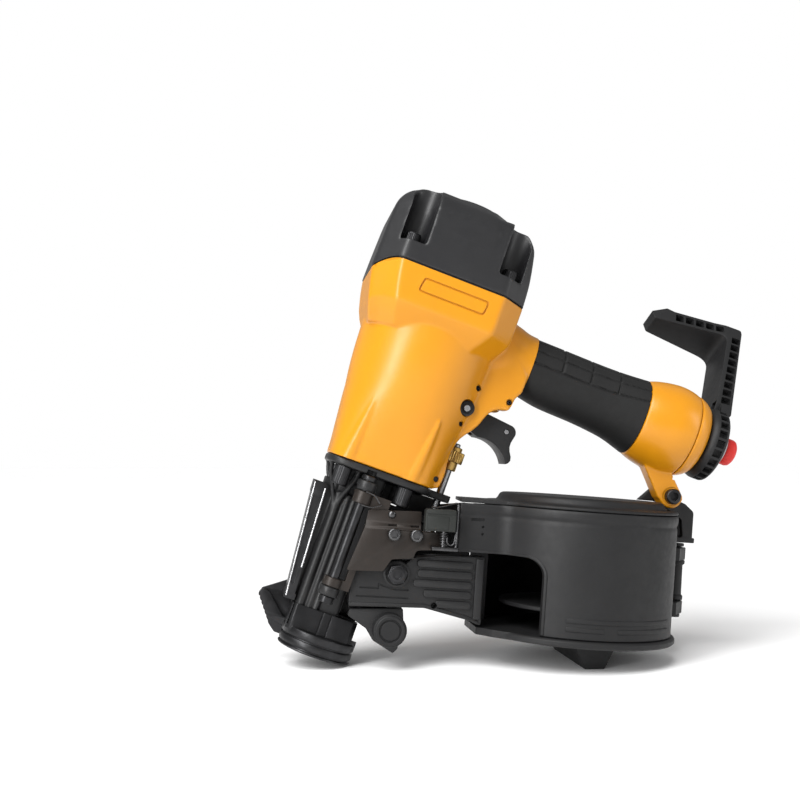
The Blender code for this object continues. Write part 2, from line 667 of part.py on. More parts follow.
def build_latch_pin():
    pin = rod(1.2, 48.0, 64.0, (-85.5, -35.0), "z", 12)
    join(pin, box((-92.0, -38.5, 46.6), (-77.6, -30.9, 48.6)))
    return join(pin, rod(0.8, 47.0, 72.0, (-78.4, -35.0), "z", 8))


# Magazine

def arm_outline():
    return [(-134.0, 12.3), (-92.0, 13.3), (-67.0, 7.8), (-59.2, 4.8), (-59.2, 43.6), (-75.0, 43.4),
            (-98.0, 42.3), (-103.0, 38.0), (-113.5, 27.3), (-129.5, 27.3)]


def build_magazine_arm():
    arm = prism(arm_outline(), -24.0, -13.0)
    for row in range(5):
        height = 14.5 + 5.6 * row
        join(arm, box((-97.0, -26.0, height), (-63.0, -23.0, height + 2.6)))
    join(arm, box((-64.0, -26.0, 9.5), (-60.0, -23.0, 42.0)))
    join(arm, rod(9.0, -25.6, -18.0, (-108.6, 32.1), "y", 6))
    floor = [(-122.0, 12.7), (-92.0, 13.4), (-67.0, 7.9), (-61.0, 5.4), (-61.0, 8.6), (-67.0, 10.8),
             (-92.0, 16.2), (-122.0, 15.5)]
    join(arm, prism(floor, -14.0, 13.0))
    far = [(-122.0, 12.7), (-92.0, 13.4), (-67.0, 7.9), (-61.0, 5.4), (-61.0, 33.0), (-112.0, 33.0)]
    join(arm, prism(far, 12.0, 16.0))
    return cut(arm, rod(2.9, -35.0, -14.5, (-108.6, 32.1), "y", 14))


def build_track_bolt():
    bolt = rod(7.4, -30.2, -25.6 - GAP, (-108.6, 32.1), "y", 6)
    return join(bolt, rod(2.6, -27.0, -15.5, (-108.6, 32.1), "y", 14))


def plan_ring(outer, inner, low, high, near):
    """Half of a round wall: the near half below y = 0, or the far half above it."""
    ring = build_ring(outer, inner, low, high, 56)
    side = 1.0 if near else -1.0
    y_low, y_high = sorted((-side * 0.2, side * 90.0))
    return cut(ring, box((-90.0, y_low, low - 5.0), (90.0, y_high, high + 5.0)))


def canister_lid():
    lid = turned([(CANISTER_RADIUS - 0.6, CANISTER_TOP - 0.5), (CANISTER_RADIUS - 2.0, CANISTER_TOP + 1.2),
                  (50.0, CANISTER_TOP + 1.6), (46.5, CANISTER_TOP + 5.5), (44.0, CANISTER_TOP + 6.2)],
                 count=56)
    return cut(lid, turned([(CANISTER_RADIUS - 4.0, CANISTER_TOP - 3.0), (48.0, CANISTER_TOP - 1.2),
                            (44.0, CANISTER_TOP + 3.6)], count=40))


def build_canister_base():
    floor = rod(58.5, 0.0, 4.0, count=56)
    neck = [(-40.0, -40.0), (-54.0, -29.0), (-61.5, -21.0), (-61.5, 14.0), (-54.0, 21.0), (-40.0, 42.0)]
    join(floor, prism(neck, 0.0, 4.0, "z"))
    wall = plan_ring(CANISTER_RADIUS, CANISTER_RADIUS - CANISTER_WALL, 3.5, CANISTER_TOP, False)
    cut(wall, box((-70.0, -5.0, 3.0), (-40.0, 14.0, 60.0)))
    join(floor, wall)
    join(floor, canister_lid())
    join(floor, box((-60.5, 13.0, 3.0), (-50.0, 16.0, CANISTER_TOP - 2.0)))
    foot = [(-9.5, 1.5), (0.5, -17.0), (9.0, -17.0), (17.0, 1.5)]
    join(floor, prism(foot, -34.0, 34.0))
    knuckle = rod(5.0, 22.6, 46.4, COVER_HINGE, count=20)
    join(knuckle, box((54.0, 4.0, 22.6), (63.5, 13.0, 46.4)))
    join(floor, knuckle)
    cut(floor, rod(2.8, 10.0, 60.0, COVER_HINGE, count=16))
    cut(floor, rod(3.0, -3.0, 10.0, count=16))
    below = box((0.0, -90.0, -40.0), (300.0, 90.0, 0.0))
    below.data.transform(MAGAZINE.inverted())
    return cut(floor, below)


def build_canister_cover():
    cover = plan_ring(CANISTER_RADIUS, CANISTER_RADIUS - CANISTER_WALL, 4.0 + GAP, CANISTER_TOP - 0.9, True)
    throat = [(-48.0, -28.5), (-66.0, -28.5), (-75.8, -27.6), (-75.8, -24.8), (-66.0, -25.5), (-48.0, -25.5)]
    join(cover, prism(throat, 46.0, CANISTER_TOP - 1.0, "z"))
    window = [(-80.0, 0.0), (-31.0, 0.0), (-31.0, 36.0)] + \
        arc((-41.0, 36.0), 10.0, 0.0, 90.0, 5) + [(-80.0, 46.0)]
    cut(cover, prism(window, -70.0, -10.0))
    cut(cover, box((-70.0, -25.4, 0.0), (-47.0, 1.0, CANISTER_TOP - 3.0)))
    for low, high in ((15.0, 22.2), (46.8, 54.0)):
        arm = rod(5.0, low, high, COVER_HINGE, count=20)
        join(arm, prism([(54.2, -6.0), (60.0, -6.0), (68.0, 6.0), (60.0, 8.0), (56.6, 0.5), (54.4, -1.0)],
                        low, high, "z"))
        join(cover, arm)
    return cut(cover, rod(2.8, 10.0, 60.0, COVER_HINGE, count=16))


def build_cover_pin():
    pin = rod(2.4, 12.4, 56.4, COVER_HINGE, count=14)
    return join(pin, rod(4.0, 54.3, 56.4, COVER_HINGE, count=14),
                rod(4.0, 12.4, 14.7, COVER_HINGE, count=14))


def bracket_outline():
    return [(36.0, 80.7), (47.5, 80.5), (50.8, 76.2), (57.0, 75.0), (57.0, 71.5), (63.0, 71.5),
            (64.5, 60.0), (57.0, 60.0), (57.0, 56.8), (70.5, 57.2), (70.5, 75.5), (65.0, 80.0)] + \
        arc((51.5, 84.2), 8.5, -15.0, 150.0, 9)


def build_magazine_bracket():
    """Upright plate from the handle's lug to the top of the canister."""
    plate = prism(bracket_outline(), 3.0, 8.0)
    join(plate, box((56.6, 3.0, 57.0), (72.0, 16.0, 60.0)))
    return cut(plate, rod(3.4, -5.0, 15.0, (51.5, 84.2), "y", 16))


def build_bracket_bolt():
    bolt = socket_screw(5.2, -14.2, -9.0 - GAP, 2.9, 12.0, LUG_BOLT, "y")
    return join(bolt, rod(5.6, 8.0 + GAP, 12.0, LUG_BOLT, "y", 6))


def build_platform():
    disc = rod(44.0, 16.0, 18.5, count=40)
    join(disc, rod(9.0, 16.0, 26.0, count=24))
    return cut(disc, rod(6.4, 10.0, 30.0, count=24))


def build_post():
    post = rod(6.1, 4.0 + GAP, 64.0, count=24)
    return join(post, rod(2.7, 0.8, 10.0, count=16))


def add_body_nodes():
    node("housing", build_housing(), "yellow")
    node("head_cap", build_head_cap(), "black_plastic")
    node("cap_gasket", build_gasket(), "grey_rubber")
    for index, (x, y) in enumerate(CAP_SCREWS, 1):
        node("cap_screw_%d" % index,
             socket_screw(4.3, 233.4 + GAP, 239.2, 2.5, 213.0, (x, y)), "dark_steel", (x, y, 233.7))
    node("exhaust_deflector", build_deflector(), "black_plastic", (0.0, 0.0, CAP_TOP))
    screw = socket_screw(4.6, CAP_TOP + 3.5, CAP_TOP + 7.0, 2.4, CAP_TOP - 7.0, (0.0, 0.0))
    node("deflector_screw", screw, "dark_steel")
    node("cylinder_sleeve", build_sleeve(), "aluminium")
    node("bumper", build_ring(22.4, 5.0, 119.3, 130.0), "rubber")
    node("piston", build_piston(), "steel", (0.0, 0.0, 205.0))
    node("piston_ring", build_ring(22.5, 20.1, 209.8, 212.2), "rubber", (0.0, 0.0, 205.0))
    node("head_valve", build_ring(26.6, 12.0, 224.4, 236.0), "black_plastic", (0.0, 0.0, 224.4))
    node("head_valve_spring", coil(18.0, 0.9, 236.4, 256.6, 4, (0.0, 0.0)), "steel")
    node("grip", build_grip(), "rubber")
    node("end_cap", build_end_cap(), "yellow")
    node("air_fitting", build_fitting(), "steel")
    node("inlet_plug", build_plug_cap(), "red_rubber", (190.0, 0.0, HANDLE_Z))
    node("hook", build_hook(), "black_plastic", (180.0, 0.0, HANDLE_Z))


def add_trigger_nodes():
    pivot = (TRIGGER_PIVOT[0], 0.0, TRIGGER_PIVOT[1])
    node("trigger", build_trigger(), "black_plastic", pivot)
    node("trigger_pin", build_trigger_pin(), "dark_steel", pivot)
    node("trip_lever", build_trip_lever(), "steel", (LEVER_PIVOT[0], 0.0, LEVER_PIVOT[1]))
    node("roll_pin_upper", rod(1.4, -18.8, 18.8, (35.0, 174.0), "y", 12), "dark_steel")
    node("roll_pin_rear", rod(1.2, -18.8, 18.8, (55.0, 172.8), "y", 12), "dark_steel")
    node("trigger_valve", build_valve_body(), "brass")
    node("valve_stem", build_valve_stem(), "steel", (VALVE_X, 0.0, 164.0))


def add_nose_nodes():
    node("nose_body", build_nose_body(), "black_cast")
    for index, (x, y) in enumerate(NOSE_SCREWS, 1):
        node("nose_screw_%d" % index, socket_screw(4.7, 96.6, 107.2, 2.5, 117.0, (x, y)), "dark_steel",
             (x, y, 107.2))
    node("contact_foot", build_contact_foot(), "dark_steel")
    node("contact_arm", build_contact_arm(), "dark_steel")
    node("contact_rod", build_contact_rod(), "steel", (ROD_X, 0.0, 90.0))
    node("contact_spring", coil(2.6, 0.5, 43.3, 79.7, 8, (-4.5, 23.8)), "steel")
    node("depth_wheel", build_depth_wheel(), "brass", (ROD_X, 0.0, 134.0))
    node("shingle_guide", build_guide(), "black_cast")
    node("guide_knob", build_guide_knob(), "black_plastic", (33.0, -28.0, 31.0))
    node("door_hinge_pin", build_hinge_pin(), "dark_steel")


def add_feed_nodes():
    y, z = FEED_AXIS
    node("feed_cylinder", build_feed_cylinder(), "aluminium")
    node("feed_piston", build_feed_piston(), "steel", (32.0, y, z))
    node("feed_pawl", build_feed_pawl(), "dark_steel", (12.8, y, z))
    node("feed_spring", coil(4.8, 0.7, 36.3, 59.7, 4, (y, z), "x"), "steel")
    hinge = (*DOOR_HINGE, 90.0)
    node("feed_door", build_door(), "brown_steel", hinge)
    node("door_plate", from_magazine(build_door_plate()), "brown_steel", hinge)
    for index, x in enumerate((-112.2, -99.8), 1):
        screw = socket_screw(3.4, -33.6, -30.6 - GAP, 1.6, -20.0, (x, 53.6), "y")
        node("door_screw_%d" % index, screw, "steel", (x, -31.0, 53.6), MAGAZINE)
    node("latch_block", build_latch(), "green_grey", (-85.5, -35.0, 57.0), MAGAZINE)
    node("latch_pin", build_latch_pin(), "steel", (-85.5, -35.0, 48.0), MAGAZINE)
    node("latch_spring", coil(2.0, 0.4, 48.9, 56.7, 4, (-85.5, -35.0)), "steel", frame=MAGAZINE)


def add_magazine_nodes():
    hinge = (*COVER_HINGE, 30.0)
    node("magazine_arm", build_magazine_arm(), "black_cast", frame=MAGAZINE)
    node("track_bolt", build_track_bolt(), "dark_steel", (-108.6, -26.0, 32.1), MAGAZINE)
    node("canister_base", build_canister_base(), "black_plastic", frame=MAGAZINE)
    node("canister_cover", build_canister_cover(), "black_plastic", hinge, MAGAZINE)
    node("canister_hinge_pin", build_cover_pin(), "dark_steel", hinge, MAGAZINE)
    node("centre_post", build_post(), "steel", (0.0, 0.0, 4.0), MAGAZINE)
    node("nail_platform", build_platform(), "black_plastic", (0.0, 0.0, 16.0), MAGAZINE)
    node("magazine_bracket", build_magazine_bracket(), "black_cast", frame=MAGAZINE)
    node("bracket_bolt", build_bracket_bolt(), "dark_steel", (LUG_BOLT[0], 0.0, LUG_BOLT[1]))


def centre_on_floor(root):
    """Put the row's origin under the middle of the object's box."""
    bpy.context.view_layer.update()
    corners = [item.matrix_world @ vertex.co for item in bpy.data.objects if item.type == "MESH"
               for vertex in item.data.vertices]
    for axis in (0, 1):
        values = [corner[axis] for corner in corners]
        root.location[axis] = -0.5 * (min(values) + max(values))


def main():
    clear_scene()
    root = bpy.data.objects.new("row_origin", None)
    bpy.context.scene.collection.objects.link(root)
    add_body_nodes()
    add_trigger_nodes()
    add_nose_nodes()
    add_feed_nodes()
    add_magazine_nodes()
    centre_on_floor(root)


main()
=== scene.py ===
"""Looks of the pneumatic coil nail gun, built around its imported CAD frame.

Shapes are drawn in millimetres in two frames, as the tool is designed: the tool
frame has z up the driver line and x back along the handle, and the magazine frame
leans less. piece() moves a finished shape into the row's frame, in metres.
"""

import json
import math

import bmesh
import bpy
from mathutils import Matrix, Vector

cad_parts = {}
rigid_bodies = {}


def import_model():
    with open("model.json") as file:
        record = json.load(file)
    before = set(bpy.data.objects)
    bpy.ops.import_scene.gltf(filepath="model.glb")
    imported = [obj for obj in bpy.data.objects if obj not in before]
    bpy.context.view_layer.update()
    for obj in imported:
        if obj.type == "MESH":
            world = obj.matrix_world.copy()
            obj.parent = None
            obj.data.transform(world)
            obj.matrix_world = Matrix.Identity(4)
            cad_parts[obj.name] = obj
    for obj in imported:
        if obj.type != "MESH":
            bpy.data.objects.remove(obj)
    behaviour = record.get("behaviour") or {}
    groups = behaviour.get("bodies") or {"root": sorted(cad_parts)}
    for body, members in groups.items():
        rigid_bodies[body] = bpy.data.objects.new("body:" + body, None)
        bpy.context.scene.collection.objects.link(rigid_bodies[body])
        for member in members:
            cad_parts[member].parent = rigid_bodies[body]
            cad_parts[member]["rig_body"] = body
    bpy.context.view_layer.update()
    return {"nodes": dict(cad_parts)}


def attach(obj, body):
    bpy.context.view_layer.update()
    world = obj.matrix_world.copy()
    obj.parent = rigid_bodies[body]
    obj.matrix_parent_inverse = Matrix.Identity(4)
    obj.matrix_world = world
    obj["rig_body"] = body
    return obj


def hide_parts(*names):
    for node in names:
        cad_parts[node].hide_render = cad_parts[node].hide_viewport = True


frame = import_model()

MM = 0.001
ROW = Matrix.Translation((-0.1233333, -0.0055721, 0))
TOOL_HEIGHT = 5.05
TOOL_LEAN = 20


def leaning(origin, degrees):
    """Frame for shapes drawn in millimetres, turned about the row's y axis."""
    return (ROW @ Matrix.Scale(MM, 4) @ Matrix.Translation(origin) @
            Matrix.Rotation(math.radians(degrees), 4, "Y"))


TOOL = leaning((0, 0, TOOL_HEIGHT), TOOL_LEAN)
MAGAZINE = leaning((152, 0, 14.5), 4)
HANDLE_Z = 193
CAP_SCREWS = [(-29, -34.5), (28, -33.5), (-29, 34.5), (28, 33.5)]
NOSE_SCREWS = [(-20.5, -21), (15.8, -21), (-20.5, 21), (15.8, 21)]
TRIGGER_PIVOT = (32.6, 161)
DOOR_HINGE = (-5.5, -25)
COVER_HINGE = (63.5, 8)
HANDLE_AXIS = (0, HANDLE_Z)
TRIGGER_VALVE = (45, 0)
DEPTH_ROD = (38, 0)
GUIDE_KNOB = (33, 31)
BRACKET_BOLT = (166, 156)
TRACK_BOLT = (-108.6, 31.4)
LATCH_PIN = (-85.5, -35)
DOOR_SCREWS = (-112.2, -99.8)


# Meshes

def object_from(mesh_data):
    bmesh.ops.recalc_face_normals(mesh_data, faces=mesh_data.faces)
    mesh = bpy.data.meshes.new("shape")
    mesh_data.to_mesh(mesh)
    mesh_data.free()
    item = bpy.data.objects.new("shape", mesh)
    bpy.context.scene.collection.objects.link(item)
    return item


def loft(rings):
    """Close a tube of equal rings of points, with a flat face on each end."""
    shape = bmesh.new()
    loops = [[shape.verts.new(point) for point in ring] for ring in rings]
    count = len(rings[0])
    for lower, upper in zip(loops, loops[1:]):
        for index in range(count):
            after = (index + 1) % count
            shape.faces.new((lower[index], lower[after], upper[after], upper[index]))
    shape.faces.new(loops[0])
    shape.faces.new(loops[-1])
    return object_from(shape)


def place_point(a, b, height, across):
    return {"x": (height, a, b), "y": (a, height, b), "z": (a, b, height)}[across]


def prism(outline, low, high, across="y"):
    """Extrude an outline between two heights along one axis of its frame."""
    return loft([[place_point(a, b, height, across) for a, b in outline] for height in (low, high)])


def box(low, high):
    outline = [(low[0], low[1]), (high[0], low[1]), (high[0], high[1]), (low[0], high[1])]
    return prism(outline, low[2], high[2], "z")


def on_circle(centre, radius, angle):
    return (centre[0] + radius * math.cos(angle), centre[1] + radius * math.sin(angle))


def circle(centre, radius, count):
    return [on_circle(centre, radius, math.tau * (index + 0.5) / count) for index in range(count)]


def turned(profile, centre=(0, 0), across="z", count=64):
    """Stack rings of (radius, height) about an axis through centre."""
    return loft([[place_point(a, b, height, across) for a, b in circle(centre, radius, count)]
                 for radius, height in profile])


def rod(radius, low, high, centre=(0, 0), across="z", count=32):
    return turned([(radius, low), (radius, high)], centre, across, count)


def chamfered(radius, low, high, edge, centre=(0, 0), across="z", count=64):
    """A rod with both ends chamfered."""
    profile = [(radius - edge, low), (radius, low + edge), (radius, high - edge), (radius - edge, high)]
    return turned(profile, centre, across, count)


def tube(outer, inner, low, high, centre=(0, 0), across="z", count=64):
    return cut(rod(outer, low, high, centre, across, count),
               rod(inner, low - 5, high + 5, centre, across, count))


def arc(centre, radius, start, stop, count):
    """Points on an arc, angles in degrees."""
    return [on_circle(centre, radius, math.radians(start + (stop - start) * index / count))
            for index in range(count + 1)]


def rounded(outline, radius, steps=5):
    """Round each corner of a closed outline. radius is one number or one per corner."""
    count = len(outline)
    radii = radius if isinstance(radius, (list, tuple)) else [radius] * count
    points = []
    for index, corner in enumerate(outline):
        here = Vector(corner)
        back = Vector(outline[index - 1]) - here
        ahead = Vector(outline[(index + 1) % count]) - here
        turn = back.angle(ahead) if back.length and ahead.length else math.pi
        if radii[index] <= 0 or turn > math.radians(176):
            points.append(tuple(here))
            continue
        reach = radii[index] / math.tan(0.5 * turn)
        reach = min(reach, 0.45 * back.length, 0.45 * ahead.length)
        first = here + back.normalized() * reach
        last = here + ahead.normalized() * reach
        for step in range(steps + 1):
            t = step / steps
            points.append(tuple(first * (1 - t) ** 2 + here * 2 * t * (1 - t) + last * t * t))
    return points


def superellipse(half_a, half_b, power, count):
    points = []
    for index in range(count):
        angle = math.tau * (index + 0.5) / count
        cosine = math.cos(angle)
        sine = math.sin(angle)
        points.append((math.copysign(half_a * abs(cosine) ** (2 / power), cosine),
                       math.copysign(half_b * abs(sine) ** (2 / power), sine)))
    return points


def octagon(front, rear, side, chamfer):
    return [(-front + chamfer, -side), (rear - chamfer, -side), (rear, -side + chamfer),
            (rear, side - chamfer), (rear - chamfer, side), (-front + chamfer, side),
            (-front, side - chamfer), (-front, -side + chamfer)]


def between(stations, steps):
    """Rows of numbers put smoothly between the given rows, through each of them."""
    rows = []
    for index in range(len(stations) - 1):
        before = stations[max(index - 1, 0)]
        first = stations[index]
        last = stations[index + 1]
        after = stations[min(index + 2, len(stations) - 1)]
        for step in range(steps):
            t = step / steps
            rows.append([0.5 * ((2 * b) + (c - a) * t + (2 * a - 5 * b + 4 * c - d) * t * t +
                                (3 * b - a - 3 * c + d) * t ** 3)
                         for a, b, c, d in zip(before, first, last, after)])
    rows.append(list(stations[-1]))
    return rows


def sweep(path, radius, sides=12):
    """A round wire along a path of points, with flat ends."""
    points = [Vector(point) for point in path]
    rings = []
    side = None
    for index, point in enumerate(points):
        along = (points[min(index + 1, len(points) - 1)] - points[max(index - 1, 0)]).normalized()
        if side is None:
            side = along.orthogonal().normalized()
        side = (side - along * side.dot(along)).normalized()
        other = along.cross(side)
        rings.append([point + side * (radius * math.cos(math.tau * step / sides)) +
                      other * (radius * math.sin(math.tau * step / sides)) for step in range(sides)])
    return loft(rings)


def helix(radius, low, high, turns, centre, across="z", per_turn=28):
    points = []
    for step in range(turns * per_turn + 1):
        angle = math.tau * step / per_turn
        height = low + (high - low) * step / (turns * per_turn)
        points.append(place_point(*on_circle(centre, radius, angle), height, across))
    return points


def applied(item):
    """Bake an object's modifiers into its mesh."""
    graph = bpy.context.evaluated_depsgraph_get()
    mesh = bpy.data.meshes.new_from_object(item.evaluated_get(graph))
    item.modifiers.clear()
    item.data = mesh
    return item


def combine(base, tool, operation, solver="EXACT"):
    modifier = base.modifiers.new("combine", "BOOLEAN")
    modifier.operation = operation
    modifier.solver = solver
    modifier.object = tool
    applied(base)
    bpy.data.objects.remove(tool)
    return base


def join(base, *others):
    for other in others:
        combine(base, other, "UNION")
    return base


def cut(base, *others):
    for other in others:
        combine(base, other, "DIFFERENCE")
    return base


def carve(base, *others):
    """Cut dense meshes, which the quicker solver handles."""
    for other in others:
        combine(base, other, "DIFFERENCE", "MANIFOLD")
    return base


def gather(*items):
    """Put several meshes in one object without joining their surfaces."""
    shape = bmesh.new()
    for item in items:
        shape.from_mesh(item.data)
        bpy.data.objects.remove(item)
    return object_from(shape)


def melt(item, voxel, passes):
    """Fuse overlapping solids into one cast skin and round its corners."""
    remesh = item.modifiers.new("remesh", "REMESH")
    remesh.mode = "VOXEL"
    remesh.voxel_size = voxel
    relax = item.modifiers.new("relax", "SMOOTH")
    relax.factor = 0.5
    relax.iterations = passes
    return applied(item)


def edged(item, width, segments=2, angle=32):
    """Round the sharp edges of a solid."""
    bevel = item.modifiers.new("edge", "BEVEL")
    bevel.width = width
    bevel.segments = segments
    bevel.limit_method = "ANGLE"
    bevel.angle_limit = math.radians(angle)
    bevel.miter_outer = "MITER_ARC"
    bevel.use_clamp_overlap = True
    return applied(item)


def turned_over(item, matrix):
    item.data.transform(matrix)
    return item


def piece(name, item, placing, body, look, nodes=(), smooth=35):
    """Put a finished shape in the row, on its body, in place of the CAD nodes named."""
    item.name = name
    item.data.name = name
    item.data.transform(placing)
    item.data.materials.clear()
    item.data.materials.append(look)
    item.data.shade_smooth()
    item.data.set_sharp_from_angle(angle=math.radians(smooth))
    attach(item, body)
    if nodes:
        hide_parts(*nodes)
    return item


def stand_in(node, item, placing, look, smooth=35):
    """A finished shape in place of one CAD node, on that node's body."""
    return piece(node + "_finished", item, placing, frame["nodes"][node]["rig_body"], look, [node], smooth)


def refined(node, look, width):
    """A copy of a CAD node with rounded edges."""
    source = frame["nodes"][node]
    shape = bmesh.new()
    shape.from_mesh(source.data)
    bmesh.ops.scale(shape, vec=(1000, 1000, 1000), verts=shape.verts)
    bmesh.ops.remove_doubles(shape, verts=shape.verts, dist=0.002)
    bmesh.ops.dissolve_limit(shape, angle_limit=math.radians(1), verts=shape.verts, edges=shape.edges)
    item = object_from(shape)
    return stand_in(node, edged(item, width), Matrix.Scale(MM, 4), look)


# Materials


def add_node(tree, kind, inputs=None, **settings):
    made = tree.nodes.new(kind)
    for key, value in settings.items():
        setattr(made, key, value)
    for key, value in (inputs or {}).items():
        if isinstance(value, bpy.types.NodeSocket):
            tree.links.new(value, made.inputs[key])
        else:
            made.inputs[key].default_value = value
    return made


def noise_of(tree, where, scale, detail=3, roughness=0.55):
    made = add_node(tree, "ShaderNodeTexNoise", {"Vector": where, "Scale": scale, "Detail": detail,
                                                 "Roughness": roughness})
    return made.outputs["Fac"]


def make_look(name, near, far, roughness, metallic=0, patch=55, grain=(1600, 0.00006, 0.35), coat=0,
              specular=0.5, corner=0.0004, drawn=None, pits=None, coat_roughness=0.12):
    """Principled material: two close tones in patches, uneven gloss, fine grain and rounded corners."""
    material = bpy.data.materials.new(name)
    material.use_nodes = True
    tree = material.node_tree
    shader = tree.nodes["Principled BSDF"]
    where = add_node(tree, "ShaderNodeTexCoord").outputs["Object"]
    tone = add_node(tree, "ShaderNodeMapRange", {"Value": noise_of(tree, where, patch, 5, 0.6),
                                                 "From Min": 0.3, "From Max": 0.7})
    colour = add_node(tree, "ShaderNodeMix", {"Factor": tone.outputs["Result"]}, data_type="RGBA")
    colour.inputs["A"].default_value = (*near, 1)
    colour.inputs["B"].default_value = (*far, 1)
    tree.links.new(colour.outputs["Result"], shader.inputs["Base Color"])
    gloss = add_node(
        tree, "ShaderNodeMapRange", {"Value": noise_of(tree, where, patch * 4, 4, 0.65), "From Min": 0.25,
                                     "From Max": 0.75, "To Min": roughness[0], "To Max": roughness[1]})
    tree.links.new(gloss.outputs["Result"], shader.inputs["Roughness"])
    normal = add_node(tree, "ShaderNodeBevel", {"Radius": corner}, samples=4).outputs["Normal"]
    heights = [(noise_of(tree, where, grain[0], 3), grain[1], grain[2])]
    if drawn:
        stretched = add_node(
            tree, "ShaderNodeMapping", {"Vector": where, "Rotation": drawn[0], "Scale": drawn[1]})
        heights.append((noise_of(tree, stretched.outputs["Vector"], drawn[2], 2), drawn[3], 0.5))
    if pits:
        cells = add_node(tree, "ShaderNodeTexVoronoi", {"Vector": where, "Scale": pits[0]})
        heights.append((cells.outputs["Distance"], pits[1], pits[2]))
    for height, distance, strength in heights:
        bump = add_node(tree, "ShaderNodeBump", {"Height": height, "Distance": distance,
                                                 "Strength": strength, "Normal": normal})
        normal = bump.outputs["Normal"]
    tree.links.new(normal, shader.inputs["Normal"])
    shader.inputs["Metallic"].default_value = metallic
    shader.inputs["Specular IOR Level"].default_value = specular
    shader.inputs["Coat Weight"].default_value = coat
    shader.inputs["Coat Roughness"].default_value = coat_roughness
    return material


LEAN = (0, math.radians(-TOOL_LEAN), 0)
YELLOW = make_look("yellow_paint", (0.57, 0.228, 0.003), (0.54, 0.212, 0.0026), (0.30, 0.40), patch=30,
                   grain=(900, 0.00008, 0.22), coat=0.12, specular=0.42, corner=0.0006, coat_roughness=0.3)
CAP_BLACK = make_look(
    "cap_plastic", (0.0125, 0.0125, 0.0135), (0.0095, 0.0095, 0.0105), (0.36, 0.46),
    grain=(2600, 0.00005, 0.4), specular=0.5, corner=0.0007)
PLASTIC = make_look(
    "black_plastic", (0.0115, 0.0115, 0.012), (0.0085, 0.0085, 0.009), (0.46, 0.6),
    grain=(3000, 0.00005, 0.45), specular=0.3, corner=0.0005)
CAST = make_look("black_cast", (0.0125, 0.0125, 0.013), (0.009, 0.009, 0.0095), (0.38, 0.56), patch=90,
                 grain=(1500, 0.0001, 0.45), coat=0.05, specular=0.32, pits=(1100, 0.00006, 0.3))
RUBBER = make_look("black_rubber", (0.009, 0.009, 0.009), (0.007, 0.007, 0.007), (0.6, 0.74),
                   grain=(4000, 0.00005, 0.5), specular=0.28, corner=0.0005)
RED = make_look("red_rubber", (0.68, 0.03, 0.022), (0.6, 0.02, 0.018), (0.38, 0.5),
                grain=(2000, 0.00004, 0.3), specular=0.35)
STEEL = make_look("steel", (0.40, 0.40, 0.41), (0.32, 0.32, 0.33), (0.24, 0.38), metallic=1, patch=160,
                  grain=(3000, 0.00002, 0.3), drawn=(LEAN, (1, 1, 0.06), 5000, 0.00002))
OXIDE = make_look(
    "black_oxide_steel", (0.04, 0.04, 0.042), (0.024, 0.024, 0.025), (0.28, 0.42), metallic=0.85, patch=120,
    grain=(2600, 0.00003, 0.3), drawn=(LEAN, (1, 1, 0.08), 4200, 0.00002))
DULL = make_look("dull_steel", (0.11, 0.11, 0.112), (0.07, 0.07, 0.072), (0.24, 0.36), metallic=1,
                 patch=160, grain=(3000, 0.00002, 0.3))
BRASS = make_look("brass", (0.55, 0.35, 0.11), (0.46, 0.29, 0.085), (0.28, 0.42), metallic=1, patch=140,
                  grain=(2600, 0.00002, 0.3))
BROWN = make_look("brown_steel", (0.024, 0.0175, 0.014), (0.017, 0.0135, 0.011), (0.36, 0.52), metallic=0.4,
                  patch=70, grain=(2200, 0.00003, 0.3), drawn=(LEAN, (1, 1, 0.05), 2400, 0.00002))
GREEN = make_look("green_grey", (0.02, 0.022, 0.02), (0.015, 0.0165, 0.015), (0.46, 0.58), metallic=0.2,
                  grain=(2600, 0.00004, 0.4), specular=0.35)
BRIGHT = make_look("bright_steel", (0.55, 0.55, 0.56), (0.46, 0.46, 0.47), (0.2, 0.32), metallic=1,
                   patch=160, grain=(3000, 0.00001, 0.3))
ALUMINIUM = make_look(
    "aluminium", (0.46, 0.46, 0.47), (0.38, 0.38, 0.39), (0.32, 0.46), metallic=1, patch=150,
    grain=(2600, 0.00002, 0.3))


# Body of the tool

def barrel():
    stations = [(112, 31, 28, 4.5), (118, 31.4, 28.6, 4), (134, 34.6, 32, 3), (152, 38, 36.5, 2.4),
                (172, 40.3, 40, 2.15), (200, 41.5, 41.5, 2.1), (212, 41.6, 41.6, 2.1)]
    rings = []
    for z, half_x, half_y, power in between(stations, 4):
        flat = min(max((z - 116) / 36, 0), 1) * 3.4 / half_x
        rings.append(
            [(x * (1 - flat) if x < 0 else x, y, z) for x, y in superellipse(half_x, half_y, power, 120)])
    return loft(rings)


def across_handle(stations, count=72):
    """Rings across the handle from (x, bottom, top, half width, power)."""
    rings = []
    for x, bottom, top, half_y, power in stations:
        middle = 0.5 * (bottom + top)
        rings.append(
            [(x, y, middle + z) for y, z in superellipse(half_y, 0.5 * (top - bottom), power, count)])
    return rings


def boss(centre, drift, low, high):
    """Tapering rib over a screw boss, dying out up the barrel."""
    rings = []
    for step in range(7):
        t = step / 6
        middle = (centre[0] + drift[0] * t, centre[1] + drift[1] * t)
        rings.append(
            [(x, y, low + (high - low) * t) for x, y in circle(middle, 6.4 * (1 - t) + 0.8 * t, 24)])
    return loft(rings)


